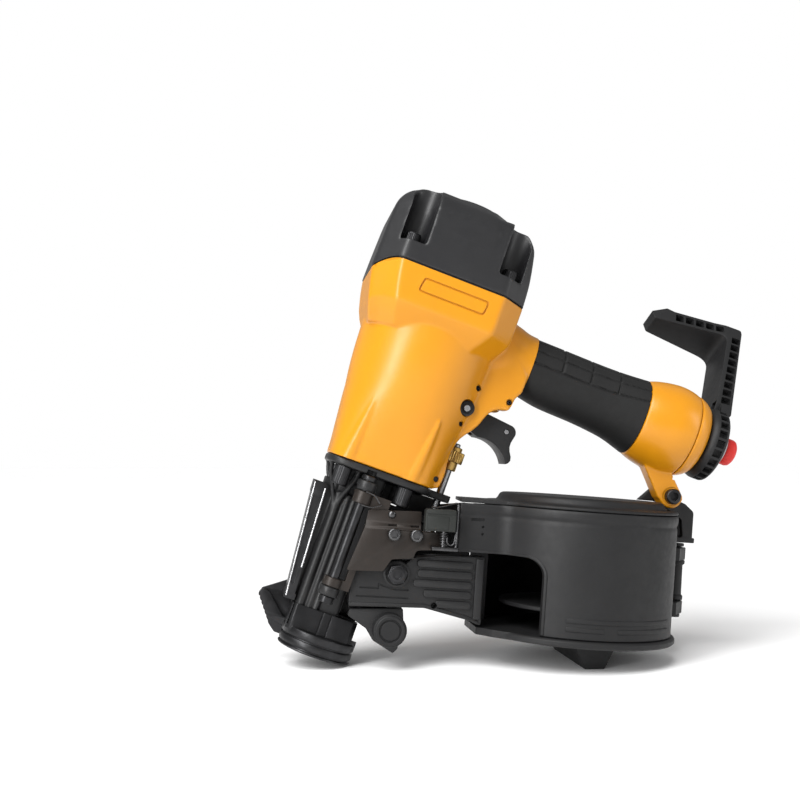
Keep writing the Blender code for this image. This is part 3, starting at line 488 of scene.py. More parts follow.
def ears():
    outline = [(8, 113.2), (33.4, 113.2), (34.3, 121.5), (33.4, 128), (33.2, 133.5), (33.8, 139),
               (35.4, 143.8), (37.6, 147), (40.4, 150.6), (43, 154.9), (44.2, 158.6), (45.6, 162.2),
               (48, 165.2), (51.1, 167.1), (56.4, 168), (57.5, 176), (60, 180.5), (60, 190), (39, 206.5),
               (8, 206.5)]
    radii = [0, 1.5] + [4] * 11 + [2.5, 3, 2] + [0] * 4
    return prism(rounded(outline, radii, 4), -18.9, 18.9)


def flange():
    stations = [(188, 36, 34, 36), (194, 38.4, 38, 40.5), (199, 39.8, 41, 43.8), (202.5, 40.8, 42, 45),
                (214, 43.2, 42, 45), (226, 45, 42, 45)]
    return loft([[(x, y, z) for x, y in rounded(octagon(front, rear, side, 13.5), 4, 4)]
                 for z, front, rear, side in between(stations, 3)])


def dipped(item):
    """Bow the joint between the head and its cap down at the front, as the castings do."""
    start, run, depth = -31.5, 13.5, 8
    low_end, low_run, high_end, high_run = 140, 66, 262, 22
    for vertex in item.data.vertices:
        x, z = vertex.co.x, vertex.co.z
        forward = min(max((start - x) / run, 0), 1)
        low = min(max((z - low_end) / low_run, 0), 1)
        high = min(max((high_end - z) / high_run, 0), 1)
        weight = low * low * (3 - 2 * low) * high * high * (3 - 2 * high)
        vertex.co.z -= depth * forward * forward * weight
    return item


def neck():
    stations = [(24, 167, 221.6, 20, 2.4), (34, 170, 220.8, 19.8, 2.4), (42, 173.5, 219.6, 19.5, 2.4),
                (50, 177, 217.6, 18.8, 2.4), (56, 178.8, 215.9, 18.3, 2.35), (66, 179.8, 215.2, 18, 2.3)]
    return loft(across_handle(between(stations, 4)))


def body_casting():
    cast = gather(
        barrel(), flange(), ears(), neck(), boss((-20.5, -21.5), (3, -11), 110, 153),
        boss((15.8, -21.5), (3.5, -11.5), 110, 148), boss((-20.5, 21.5), (3, 11), 110, 153),
        boss((15.8, 21.5), (3.5, 11.5), 110, 148))
    melt(cast, 0.8, 7)
    carve(cast, box((-70, -70, 222.2), (90, 70, 260)))
    carve(cast, box((-70, -70, 90), (90, 70, 112)))
    carve(cast, box((60.7, -40, 150), (90, 40, 240)))
    carve(cast, rod(27.3, 119, 240, count=96))
    carve(cast, rod(6, 105, 125))
    pocket = [(31.2, 105), (46, 105), (70, 130), (70, 171.5), (24, 171.5), (24, 153), (31.2, 146)]
    carve(cast, prism(pocket, -10.2, 10.2))
    carve(cast, rod(7.3, 168, 192, TRIGGER_VALVE))
    for x, z, radius in [(*TRIGGER_PIVOT, 2.8), (35, 174, 1.8), (55, 172.8, 1.6), (32.3, 151.6, 1.5),
                         (30, 118, 1.6)]:
        carve(cast, rod(radius, -30, 30, (x, z), "y", 24))
        carve(cast, turned([(radius, -19.4), (radius + 0.9, -18.2)], (x, z), "y", 24))
    carve(cast, rod(4.9, -45, -19, TRIGGER_PIVOT, "y", 40))
    carve(cast, badge_groove())
    for x, y in CAP_SCREWS:
        carve(cast, rod(2.9, 211, 230, (x, y), count=24))
    for x, y in NOSE_SCREWS:
        carve(cast, rod(2.9, 105, 118.5, (x, y), count=24))
    return cast


def badge_groove():
    """Thin line round an empty badge panel on the near face of the head flange."""
    outer = prism(rounded([(-17.6, 208.6), (20.5, 208.6), (21.6, 216.9), (-16.2, 216.9)], 2.2), -46.5,
                  -44.2)
    inner = prism(rounded([(-16.7, 209.5), (19.7, 209.5), (20.6, 216), (-15.4, 216)], 1.6), -47, -43)
    return cut(outer, inner)


def bell():
    profile = [(22.35, 131.8), (23.1, 133.6), (24.3, 137), (25.5, 142), (26.4, 147.5), (26.7, 152),
               (26.4, 156.5), (25.6, 160.5), (24.75, 163)]
    lug = ([(140, 173.5), (146, 166), (158.6, 152.5)] + arc(BRACKET_BOLT, 7, 215, 375, 16) +
           [(160.5, 170), (160.5, 175), (142, 178)])
    shape = gather(turned(between(profile, 3), HANDLE_AXIS, "x", 120),
                   prism(rounded(lug, 1.5, 3), -8.9, 2.4))
    melt(shape, 0.7, 5)
    carve(shape, box((120, -40, 150), (131.8, 40, 240)))
    carve(shape, box((163, -40, 165.5), (190, 40, 240)))
    carve(shape, rod(15.5, 152, 180, HANDLE_AXIS, "x", 64))
    carve(shape, rod(3.4, -20, 20, BRACKET_BOLT, "y", 32))
    return carve(shape, rod(5.4, -12, -8.5, BRACKET_BOLT, "y", 32))


def handle_core():
    core = loft([[(x, y, HANDLE_Z + 2.5 + z) for y, z in superellipse(13.2, 14.7, 2.3, 60)]
                 for x in (54, 140)])
    return cut(core, rod(7.6, 20, 170, (0, HANDLE_Z + 1), "x", 32))


def rubber_grip():
    """Rubber sleeve with four columns of three raised pads on its upper half."""
    stations = [(61, 180, 215, 18, 2.3), (75, 177.5, 214.8, 18.3, 2.3), (97, 176.5, 214.4, 18.6, 2.3),
                (111, 175.3, 214.4, 19.2, 2.3), (120, 173.8, 214.8, 20.4, 2.2),
                (131.5, 170.4, 215.6, 22.3, 2.1)]
    columns = [61, 78.2, 95.6, 113, 131.5]
    rows = [4.5, 11.2, 18.6, 26.4]
    rings = []
    for x, bottom, top, half_y, power in between(stations, 36):
        middle = 0.5 * (bottom + top)
        ring = []
        outline = superellipse(half_y, 0.5 * (top - bottom), power, 240)
        start = max(range(len(outline)), key=lambda index: (outline[index][1], -abs(outline[index][0])))
        lengths = [0] * len(outline)
        for direction in (1, -1):
            length = 0
            for step in range(1, len(outline) // 2 + 1):
                index = (start + direction * step) % len(outline)
                last = (start + direction * (step - 1)) % len(outline)
                length += math.dist(outline[index], outline[last])
                lengths[index] = length
        for (y, z), length in zip(outline, lengths):
            sunk = pad_groove(x, length, columns, rows)
            outward = Vector((y / half_y ** 2, z / (0.5 * (top - bottom)) ** 2)).normalized()
            ring.append((x, y - outward.x * sunk, middle + z - outward.y * sunk))
        rings.append(ring)
    core = loft([[(x, y, HANDLE_Z + 2.5 + z) for y, z in superellipse(13.5, 15, 2.3, 60)]
                 for x in (50, 140)])
    return carve(loft(rings), core)


def pad_groove(x, length, columns, rows):
    """How far the grip's surface sinks at x along it and length round it from its top line."""
    lowest = rows[-1]
    if length > lowest + 1:
        return 0.25
    across_gap = min(abs(x - column) for column in columns[1:-1])
    along_gap = min(abs(length - row) for row in rows)
    gap = min(across_gap, along_gap)
    rise = min(max((gap - 0.35) / 0.5, 0), 1)
    rise = rise * rise * (3 - 2 * rise)
    below = min(max(lowest + 1 - length, 0), 1)
    return 0.25 + (0.75 - 0.95 * rise) * below


def end_cap_casting():
    profile = [(24.7, 163.3), (24.5, 164.6), (23.6, 167), (22.4, 169.2), (21, 170.8), (19.6, 171.6),
               (12.7, 171.7), (12.7, 183.2)]
    cap = turned(profile, HANDLE_AXIS, "x", 96)
    join(cap, rod(15, 154, 165, HANDLE_AXIS, "x", 48))
    cut(cap, rod(6.4, 150, 190, HANDLE_AXIS, "x", 32))
    return edged(cap, 0.4, 2, 40)


def cap_shell():
    """Head cap: a tall block in front, a lower lobe behind, and a groove down each corner."""
    block = [(222, 45, 30, 45), (236, 44.8, 30, 44.7), (250, 44.2, 29, 43.9), (256, 43.2, 27, 43),
             (262, 38.8, 23.4, 39.5), (265, 34.6, 20.8, 36), (266.5, 33, 20, 34)]
    lobe = [(222, 30, 42, 45), (236, 30, 41.2, 44.7), (250, 30, 38.9, 43.6), (256, 30, 37.4, 42.4),
            (261, 30, 34, 40), (263.2, 30, 31.8, 37.5)]
    shape = gather(
        loft([[(x, y, z) for x, y in rounded(octagon(front, rear, side, 0.3 * side), 5, 4)]
              for z, front, rear, side in between(block, 3)]),
        loft([[(x, y, z) for x, y in rounded(octagon(front, rear, side, 0.3 * side), 4, 4)]
              for z, front, rear, side in between(lobe, 3)]))
    melt(shape, 0.85, 2)
    for x, y in CAP_SCREWS:
        side = math.copysign(1, y)
        groove = rod(7, 233.6, 280, (x, y), count=64)
        wide = [(x - 6.6, y), (x + 6.6, y), (x + 8.4, side * 60), (x - 8.4, side * 60)]
        carve(shape, groove)
        carve(shape, prism(wide, 233.6, 280, "z"))
    melt(shape, 0.75, 3)
    carve(shape, box((-70, -70, 210), (90, 70, 223.2)))
    carve(shape, rod(27.6, 215, 255.5, count=96))
    for x, y in CAP_SCREWS:
        carve(shape, rod(2.9, 215, 240, (x, y), count=32))
    carve(shape, rod(2.7, 250, 275, count=32))
    for angle in (0, 120, 240):
        centre = (11 * math.cos(math.radians(angle)), 11 * math.sin(math.radians(angle)))
        carve(shape, rod(3.5, 250, 275, centre, count=32))
    return dipped(shape)


def deflector():
    disc = turned([(19, 266.8), (19.6, 267.1), (20, 268), (20, 270), (19.2, 270.9), (18, 271.5)], count=96)
    join(disc, prism(rounded([(10, -9), (25, -11), (25, 11), (10, 9)], 1.5), 267.1, 270.5, "z"))
    cut(disc, rod(2.9, 250, 280, count=24))
    cut(disc, rod(5.2, 269.7, 280, count=40))
    cut(disc, box((12, -8, 264), (30, 8, 269.1)))
    for index in range(10):
        angle = math.radians(54 + 28 * index)
        centre = (16.4 * math.cos(angle), 16.4 * math.sin(angle))
        cut(disc, rod(1, 270.7, 280, centre, count=16))
    return edged(disc, 0.3)


def hook_arm():
    """Ring on the handle's spigot and a ribbed L-shaped arm, drawn upright then leaned over."""
    reach = 95.5
    arm_side = [(178, 17), (187.5, 17), (194.6, reach - 3), (194, reach), (150, reach), (145, reach + 1.4),
                (135.2, reach - 5), (137.5, reach - 10.5), (185, reach - 8.8)]
    outline = rounded(arm_side, [0, 0, 7, 3, 2, 0.6, 0.8, 1.5, 6], 6)
    arm = prism([(x, HANDLE_Z + height) for x, height in outline], -20, 20)
    plan = [(125, 5), (176, 11.4), (184, 13), (205, 13.6)]
    combine(arm, prism(plan + [(x, -y) for x, y in reversed(plan)], 150, 330, "z"), "INTERSECT")
    edged(arm, 0.5)
    pockets = []
    for index in range(9):
        low = 25 + 7 * index
        high = low + 5.6
        near = [178 + 7.5 / 65.5 * (height - 17) + 2.1 for height in (low, high)]
        far = [187.5 + 9 / 79 * (height - 17) - 1.9 for height in (low, high)]
        pockets.append([(near[0], low), (far[0], low), (far[1], high), (near[1], high)])
    for index in range(5):
        low = 151 + 6.6 * index
        high = low + 5.2
        inner = [reach - 10.5 + (height - 137.5) * 1.7 / 47.5 + 2 for height in (low, high)]
        pockets.append([(low, inner[0]), (high, inner[1]), (high, reach - 1.9), (low, reach - 1.9)])
    for pocket in pockets:
        for side in (-1, 1):
            low, high = sorted((side * (3.5 if pocket[0][1] > 80 else 9), side * 20))
            shape = loft([[(x, y, HANDLE_Z + height) for x, height in rounded(pocket, 0.7, 3)]
                          for y in (low, high)])
            cut(arm, shape)
    ring = turned([(17.6, 172.1), (19.4, 172.9), (20.8, 174.5), (21.4, 176.2), (21.6, 178), (21.6, 181),
                   (21.2, 182.4), (20, 183.2)], HANDLE_AXIS, "x", 96)
    join(ring, arm)
    for index in range(22):
        angle = 100 + 16 * index
        first, last = math.radians(angle), math.radians(angle + 12)
        slot = [on_circle(HANDLE_AXIS, radius, turn)
                for radius, turn in ((18.4, first), (30, first), (30, last), (18.4, last))]
        cut(ring, prism(slot, 176.6, 181.4, "x"))
    cut(ring, rod(13, 165, 190, HANDLE_AXIS, "x", 64))
    cut(ring, rod(15.2, 183.4, 195, HANDLE_AXIS, "x", 64))
    upright = Vector((0, 0, HANDLE_Z))
    lean = (Matrix.Translation(upright) @ Matrix.Rotation(math.radians(-38), 4, "X") @
            Matrix.Translation(-upright))
    return turned_over(ring, lean)


def plug_cap():
    plug = turned([(7.3, 188.8), (7.7, 189.2), (8, 190.2), (8, 193.2), (7.5, 194.6), (6, 195.7), (3, 196)],
                  HANDLE_AXIS, "x", 64)
    return join(plug, rod(3.2, 178, 190, HANDLE_AXIS, "x", 32))


def add_body():
    piece("housing_casting", dipped(join(body_casting(), handle_core())), TOOL, "tool_body", YELLOW,
          ["housing"])
    piece("handle_bell", bell(), TOOL, "tool_body", YELLOW)
    piece("grip_sleeve", rubber_grip(), TOOL, "tool_body", RUBBER, ["grip"], 50)
    piece("end_cap_casting", end_cap_casting(), TOOL, "tool_body", YELLOW, ["end_cap"])
    piece("head_cap_shell", cap_shell(), TOOL, "tool_body", CAP_BLACK, ["head_cap"])
    piece("deflector_disc", deflector(), TOOL, "exhaust_deflector", CAP_BLACK, ["exhaust_deflector"])
    piece("hook_arm", hook_arm(), TOOL, "hook", PLASTIC, ["hook"])
    piece("plug_cap", plug_cap(), TOOL, "inlet_plug", RED, ["inlet_plug"])


# Screws, springs and other small parts

def hexagon(flats, centre=(0, 0), turn=0):
    radius = flats / math.sqrt(3)
    return [on_circle(centre, radius, math.radians(60 * index + turn)) for index in range(6)]


def knurled(profile, centre=(0, 0), across="z", teeth=40, depth=0.18):
    """Turned shape with fine teeth along its side."""
    rings = []
    for radius, height in profile:
        ring = []
        for index, (a, b) in enumerate(circle((0, 0), 1, teeth * 4)):
            reach = radius - depth * (0.5 - 0.5 * math.cos(0.5 * math.pi * index))
            ring.append(place_point(centre[0] + a * reach, centre[1] + b * reach, height, across))
        rings.append(ring)
    return loft(rings)


def socket_screw(head, low, high, shank, end, centre=(0, 0), across="z"):
    """Knurled cylinder-head screw with a hexagon socket in its outer face."""
    outer, inner = (low, high) if abs(low - end) > abs(high - end) else (high, low)
    way = 1 if outer > inner else -1
    profile = [(head - 0.25, inner), (head, inner + 0.25 * way), (head, outer - 0.8 * way)]
    screw = knurled(profile, centre, across, 30, 0.16)
    join(screw, turned([(head - 0.15, outer - 0.9 * way), (head - 0.2, outer - 0.6 * way),
                        (head - 0.45, outer - 0.2 * way), (head - 0.85, outer)], centre, across, 64))
    depth = min(0.6 * abs(outer - inner), 3)
    ends = sorted((outer - depth * way, outer + way))
    cut(screw, prism(hexagon(head * 1.06, centre), *ends, across))
    return join(screw, rod(shank, *sorted((inner + 0.4 * way, end)), centre, across, 32))


def spring(radius, wire, low, high, turns, centre, across="z"):
    return sweep(helix(radius, low + wire, high - wire, turns, centre, across), wire, 10)


def ring_of(outer, inner, low, high, edge=0.4):
    shape = chamfered(outer, low, high, edge, count=96)
    return cut(shape, rod(inner, low - 5, high + 5, count=96))


def add_cylinder():
    sleeve = turned([(25.8, 120), (25.8, 219), (26.9, 219), (26.9, 224)], count=96)
    cut(sleeve, rod(22.8, 115, 230, count=96))
    stand_in("cylinder_sleeve", edged(sleeve, 0.3), TOOL, ALUMINIUM)
    piston = turned(
        [(22.2, 205), (22.2, 209.5), (19.8, 209.5), (19.8, 212.5), (22.2, 212.5), (22.2, 217)], count=96)
    join(piston, rod(2.6, 74, 208, count=32))
    stand_in("piston", edged(piston, 0.3), TOOL, STEEL)
    stand_in("piston_ring", ring_of(22.5, 20.1, 209.8, 212.2), TOOL, RUBBER)
    stand_in("bumper", ring_of(22.4, 5, 119.3, 130, 1.2), TOOL, RUBBER)
    stand_in("head_valve", ring_of(26.6, 12, 224.4, 236, 0.8), TOOL, PLASTIC)
    stand_in("head_valve_spring", spring(18, 0.9, 236.4, 256.6, 4, (0, 0)), TOOL, STEEL)
    edge = rounded(octagon(43.7, 41.3, 44.4, 13.4), 3.6, 4)
    edge = between(edge + edge[:1], 6)[:-1]
    gasket = loft([[(x, y, z) for x, y in edge] for z in (222.35, 223.05)])
    cut(gasket, rod(27.8, 220, 230, count=96), *[rod(3, 220, 230, place) for place in CAP_SCREWS])
    stand_in("cap_gasket", dipped(gasket), TOOL, RUBBER)


def air_fitting():
    profile = [(6, 172), (6, 183.6), (14.1, 183.6), (14.5, 184), (14.5, 185.4), (14.1, 185.8), (9, 186.2),
               (9, 188), (8.6, 188.4)]
    fitting = turned(profile, HANDLE_AXIS, "x", 96)
    return cut(fitting, rod(3.6, 160, 195, HANDLE_AXIS, "x", 48))


def add_screws():
    for index, (x, y) in enumerate(CAP_SCREWS, 1):
        stand_in("cap_screw_%d" % index, socket_screw(4.3, 233.7, 239.2, 2.5, 213, (x, y)), TOOL, OXIDE)
    for index, (x, y) in enumerate(NOSE_SCREWS, 1):
        stand_in("nose_screw_%d" % index, socket_screw(4.7, 96.6, 107.2, 2.5, 117, (x, y)), TOOL, OXIDE)
    stand_in("deflector_screw", socket_screw(4.6, 270, 273.5, 2.4, 259.5), TOOL, OXIDE)
    stand_in("air_fitting", air_fitting(), TOOL, STEEL)
    for index, x in enumerate(DOOR_SCREWS, 1):
        stand_in("door_screw_%d" % index, socket_screw(3.6, -33.6, -30.9, 1.6, -20, (x, 53.6), "y"),
                 MAGAZINE, DULL)
    bolt = socket_screw(4.5, -13.6, -8.7, 2.9, 12, BRACKET_BOLT, "y")
    join(bolt, edged(prism(hexagon(9.6, BRACKET_BOLT), 8.3, 12), 0.3))
    stand_in("bracket_bolt", bolt, TOOL, OXIDE)


# Trigger group

def trigger_shape():
    pivot = arc(TRIGGER_PIVOT, 6, 90, 235, 12)
    finger = arc((50.2, 131), 18.6, 103, 34, 22)
    tip = [(66.6, 139.9), (67.8, 140.9), (68.6, 142.6), (68.1, 144.8), (66.4, 147.6), (65.5, 150),
           (65.4, 152.5)]
    heel = arc((62, 157.5), 4.4, -20, 80, 10)
    outline = pivot + [(38, 151.6)] + finger + tip + heel + [(46, 163.6)]
    trigger = prism(outline, -9.5, 9.5)
    slot = [(35.3, 140), (44, 140), (44, 151.8), (58, 151.5), (66.5, 152.5), (68, 156), (68, 170),
            (35.3, 170)]
    cut(trigger, prism(slot, -5, 5))
    edged(trigger, 0.8, 3, 40)
    cut(trigger, rod(3.1, -20, 20, TRIGGER_PIVOT, "y", 32))
    return cut(trigger, rod(1.6, -20, 20, (61, 157.5), "y", 24))


def trigger_pin():
    pin = chamfered(2.5, -23.4, 19, 0.3, TRIGGER_PIVOT, "y", 40)
    washer = tube(4.4, 2.4, -22.6, -19.3, TRIGGER_PIVOT, "y", 48)
    return join(pin, edged(washer, 0.25))


def lever_shape():
    eye = arc((61, 157.5), 2.9, -90, 90, 12)
    outline = [(37, 156.2), (58, 154.6)] + eye + [(52, 159.2), (41, 160.4), (37, 158.4)]
    return join(edged(prism(outline, -4.6, 4.6), 0.3), rod(1.3, -9.2, 9.2, (61, 157.5), "y", 24))


def add_trigger():
    stand_in("trigger", trigger_shape(), TOOL, PLASTIC)
    stand_in("trigger_pin", trigger_pin(), TOOL, OXIDE)
    # painted shade: dark steel rods fill the two open ear holes so that they read dark
    shade_rods = gather(rod(1.45, -18, 18, (32.3, 151.6), "y", 20), rod(1.55, -18, 18, (30, 118), "y", 20))
    piece("ear_hole_shade_rods", shade_rods, TOOL, "tool_body", OXIDE)
    pin_end = turned([(1.75, -23.5), (1.75, -23.3)], TRIGGER_PIVOT, "y", 32)
    piece("trigger_pin_face", pin_end, TOOL, "tool_body", BRIGHT)
    stand_in("trip_lever", lever_shape(), TOOL, STEEL)
    for node, radius, centre in (("roll_pin_upper", 1.4, (35, 174)), ("roll_pin_rear", 1.2, (55, 172.8))):
        pin = chamfered(radius, -18.8, 18.8, 0.3, centre, "y", 24)
        stand_in(node, cut(pin, rod(0.5 * radius, -25, 25, centre, "y", 16)), TOOL, OXIDE)
    valve = chamfered(7, 172, 189.5, 0.4, TRIGGER_VALVE)
    stand_in("trigger_valve", cut(valve, rod(2.5, 165, 195, TRIGGER_VALVE, count=32)), TOOL, BRASS)
    stem = turned([(1.2, 165.5), (1.7, 165.8), (2, 166.6), (2, 186.5)], TRIGGER_VALVE, count=32)
    stand_in("valve_stem", stem, TOOL, STEEL)


# Nose

def nose_webs(side):
    """Webs that leave the screw flange round one front screw and run into the column's ribs."""
    rear = between([(-11.5, 17.5, 108.6), (-11.9, 16.2, 103), (-13.6, 13.6, 97), (-15.6, 10.8, 91),
                    (-16.6, 9.4, 84), (-16.8, 9.2, 76)], 4)
    front = between(
        [(-28, 17.5, 108.6), (-26, 14.8, 102), (-22.6, 11.6, 95), (-19.2, 9.4, 87), (-17.8, 9.2, 78)], 4)
    return [sweep([(x, side * y, z) for x, y, z in rear], 1.7, 14),
            sweep([(x, side * y, z) for x, y, z in front], 1.3, 14)]


def nose_casting():
    flange_rings = [(107.5, -0.7), (107.9, -0.2), (108.4, 0), (111.2, 0), (111.7, -0.5)]
    cast = loft([[(x, y, z) for x, y in superellipse(31 + grow, 27 + grow, 4.5, 96)]
                 for z, grow in flange_rings])
    column = rounded([(-20, -9.2), (6, -9.2), (6, 9.2), (-20, 9.2)], 2.5)
    parts = [cast, prism(column, 25, 109, "z"), box((25, -8, 107.5), (43.5, 8, 111.7))]
    for side in (-1, 1):
        parts += nose_webs(side)
        for x, radius in ((-16.8, 2.5), (-11.6, 1.9), (-7.8, 1.5)):
            parts.append(rod(radius, 25.2, 93, (x, side * (11.3 - radius)), count=32))
    parts.append(loft([[(-22.5, -8, 108), (-10, -8, 108), (-10, 8, 108), (-22.5, 8, 108)],
                       [(-19, -6, 86), (-10, -6, 86), (-10, 6, 86), (-19, 6, 86)]]))
    parts.append(prism([(5, 25), (20, 25), (21, 44), (12, 62), (5, 62)], 13.4, 15.6))
    parts.append(box((4, 8, 48), (10, 14, 60)))
    parts.append(prism([(-27.6, 99), (-10, 99), (-10, 31), (-22.4, 31)], -6.2, 6.2))
    for low, high in ((98.4, 103.6), (37.8, 42.5)):
        parts.append(box((-9.5, -25, low), (-1.5, -8, high)))
    parts += [box((-6, 6, 86), (44, 11.2, 91)), box((4, 6, 86), (44, 34, 91)),
              box((-9.5, 17, 84.2), (42, 19.2, 107.6)), box((-18, 8, 80), (-9.5, 28, 84)),
              box((-18, 20, 80), (-1, 28, 84))]
    cast = melt(gather(*parts), 0.62, 3)
    for low, high in ((98.2, 103.8), (37.6, 42.7)):
        lug = chamfered(5.4, low, high, 0.5, DOOR_HINGE)
        combine(cast, lug, "UNION", "MANIFOLD")
    for hole in (rod(3.4, 20, 115), box((0, -3.3, 18), (12, 3.3, 80)), rod(3, 100, 115, DEPTH_ROD),
                 rod(3.3, 30, 110, DOOR_HINGE), box((-70, -70, 111.7), (70, 70, 130))):
        carve(cast, hole)
    for x, y in NOSE_SCREWS:
        carve(cast, rod(3, 100, 115, (x, y)))
        carve(cast, rod(5, 90, 107.4, (x, y)))
    return cast


def foot_shape():
    profile = [(20.9, -2.4), (21.5, -1.8), (21.5, 3), (21.3, 3.5), (20.2, 3.7), (20.2, 4.5), (21.3, 4.7),
               (21.5, 5.1), (21.5, 8), (21.3, 8.4), (20.4, 8.6), (20.4, 9.4), (21.3, 9.6), (21.5, 10),
               (21.5, 13.4), (21, 14)]
    foot = turned(foot_levels(profile), count=128)
    collar = rounded(octagon(20.9, 17.5, 12.8, 2.5), 1.2, 4)
    join(foot, prism(collar, 12, 26.6, "z"))
    lever = [(-12, 4), (-24, 4), (-28.5, 7.5), (-40, 22), (-38.5, 26), (-34, 25), (-22, 14), (-12, 13)]
    wedge = prism(rounded(lever, [0, 2, 2, 2, 1.5, 2, 2, 0], 4), 13, 18)
    edge = Vector((-40, 22)) - Vector((-28.5, 7.5))
    for step in range(6):
        middle = Vector((-28.5, 7.5)) + edge * ((step + 0.7) / 6.4)
        cut(wedge, rod(0.8, 12, 19, tuple(middle + Vector((-0.3, -0.2))), "y", 16))
    fin = [(-12, 4), (-24, 4), (-28.5, 7.5), (-39.5, 22), (-38.8, 25.5), (-36, 27.5), (-24.5, 36),
           (-18, 30), (-12, 26)]
    join(foot, wedge, prism(rounded(fin, [0, 2, 2, 2, 1.5, 2, 3, 2, 0], 4), 16.2, 18.6))
    cut(foot, box((-20.35, -11.35, 14.2), (6.35, 11.35, 30)), rod(5, -5, 20, count=64),
        box((6, -3.4, 14.2), (20, 3.4, 30)))
    for x in (-3.4, 1.6):
        cut(foot, box((x, -14, 13.6), (x + 0.9, -12.2, 30)))
    join(foot, prism(rounded([(16.8, -9.6), (20.6, -9), (20.6, -6), (16.8, -5.4)], 0.6, 3), 13.2, 16.2,
                     "z"))
    return edged(foot, 0.3)


def foot_levels(profile):
    """The foot's lowest ring rests on the floor, on its leaning edge."""
    lean = math.radians(TOOL_LEAN)
    lowest = (20.9 * math.sin(lean) - TOOL_HEIGHT) / math.cos(lean)
    return [(radius, max(height, lowest if radius < 21 else lowest + 0.6)) for radius, height in profile]


def contact_arm_shape():
    front = prism([(-33, 95), (-24.5, 95), (-21.3, 27.3), (-26.3, 27.3)], -9.5, 9.5)
    cut(front, prism([(-29.8, 96), (-20.4, 96), (-20.4, 20), (-23.4, 20)], -7.2, 7.2))
    join(front, prism([(-33, 95), (-24.5, 95), (-24.2, 88), (-32.6, 88)], -9.5, 9.5))
    for low, high in (((-27, -9.5, 27.3), (-20.6, 16, 31)), ((-24, 12, 27.3), (0, 16, 33)),
                      ((-8, 12, 27.3), (0, 16, 96)), ((-8, 12, 40), (0, 27, 43)),
                      ((-8, 11.6, 92.5), (16, 16, 96)), ((10, -3.5, 92.5), (42, 16, 96))):
        join(front, box(low, high))
    cut(front, rod(2.9, 85, 100, DEPTH_ROD))
    edged(front, 0.5, 3)
    for side in (-1, 1):
        low, high = sorted((side * 8.5, side * 12))
        cut(front, prism([(-31.1, 86.5), (-26.6, 86.5), (-24, 36), (-26, 36)], low, high))
    return front


def contact_edge_highlights():
    """Painted highlights: bright steel lines along the edges of the channel that slides on the nose."""
    highlight_lines = []
    for side in (-1, 1):
        highlight_lines.append(sweep([(-32.2, side * 9.25, 94), (-25.95, side * 9.25, 28.6)], 0.6))
        highlight_lines.append(sweep([(-25.5, side * 9.25, 92), (-23, side * 9.25, 46)], 0.75))
    return gather(*highlight_lines)


def contact_rod_shape():
    shape = turned([(1.8, 84), (2.2, 84.4), (2.2, 141.5), (1.8, 142)], DEPTH_ROD, count=40)
    join(shape, edged(prism(hexagon(7.3, DEPTH_ROD), 87, 92.2, "z"), 0.3))
    return join(shape, prism(hexagon(7.3, DEPTH_ROD), 96.3, 97.2, "z"))


def add_nose():
    stand_in("nose_body", nose_casting(), TOOL, CAST, 50)
    stand_in("contact_foot", foot_shape(), TOOL, OXIDE)
    stand_in("contact_arm", contact_arm_shape(), TOOL, OXIDE)
    # painted highlights: bright steel lines on the contact arm's channel edges
    piece("contact_edge_highlights", contact_edge_highlights(), TOOL, "contact", BRIGHT)
    stand_in("contact_rod", contact_rod_shape(), TOOL, STEEL)
    stand_in("contact_spring", spring(2.6, 0.5, 43.3, 79.7, 9, (-4.5, 23.8)), TOOL, STEEL)
    wheel = knurled([(5.9, 131), (6.2, 131.4), (6.2, 137.1), (5.9, 137.5)], DEPTH_ROD, teeth=28, depth=0.4)
    join(wheel, chamfered(4, 126, 140, 0.4, DEPTH_ROD, count=48))
    stand_in("depth_wheel", cut(wheel, rod(2.3, 120, 145, DEPTH_ROD)), TOOL, BRASS)
    stand_in("shingle_guide", guide_shape(), TOOL, CAST)
    stand_in("guide_knob", knob_shape(), TOOL, PLASTIC)
    pin = turned([(2.5, 36), (2.9, 36.4), (2.9, 104.6), (4.2, 104.1), (4.4, 104.4), (4.4, 106.4),
                  (3.8, 107)], DOOR_HINGE, count=64)
    join(pin, turned([(3.8, 33.5), (4.2, 33.9), (4.2, 36.9), (3.9, 37.3)], DOOR_HINGE, count=64))
    stand_in("door_hinge_pin", pin, TOOL, OXIDE)
    wires = [sweep(between([(-5.5, -31.2, 98.05), (-2.5, -31, 98), (0.5, -30, 97.2), (4, -29.2, 94.4)], 4),
                   0.4), sweep(between([(-5.5, -30.8, 90.6), (-2, -30.9, 90.7), (1.5, -30.3, 91.6),
                                        (5.2, -29, 94)], 4), 0.4)]
    piece("hinge_spring_ends", gather(*wires), TOOL, "tool_body", DULL)


def guide_shape():
    outline = [(9, 34.6), (9, 30.5), (21, 27), (27, 22), (40, 18.8), (41.6, 22), (41, 34), (37, 44.2)]
    guide = prism(rounded(outline, 1.2, 4), -22, -15.5)
    edged(guide, 0.5)
    join(guide, chamfered(10, -12, 6, 0.6, GUIDE_KNOB, "y", 96), rod(8, -16, -11, GUIDE_KNOB, "y", 64))
    return cut(guide, rod(2.6, -30, 2, GUIDE_KNOB, "y"))


def knob_shape():
    profile = [(2, -31.6), (5.2, -31.6), (5.4, -31), (6.1, -31), (6.3, -31.9), (7.8, -32), (8.2, -31.7),
               (8.4, -31), (9, -30.9), (9.3, -30.4), (9.3, -22.3)]
    knob = turned(profile, GUIDE_KNOB, "y", 96)
    return join(knob, rod(2.2, -24, 0, GUIDE_KNOB, "y"))


# Feed group and door

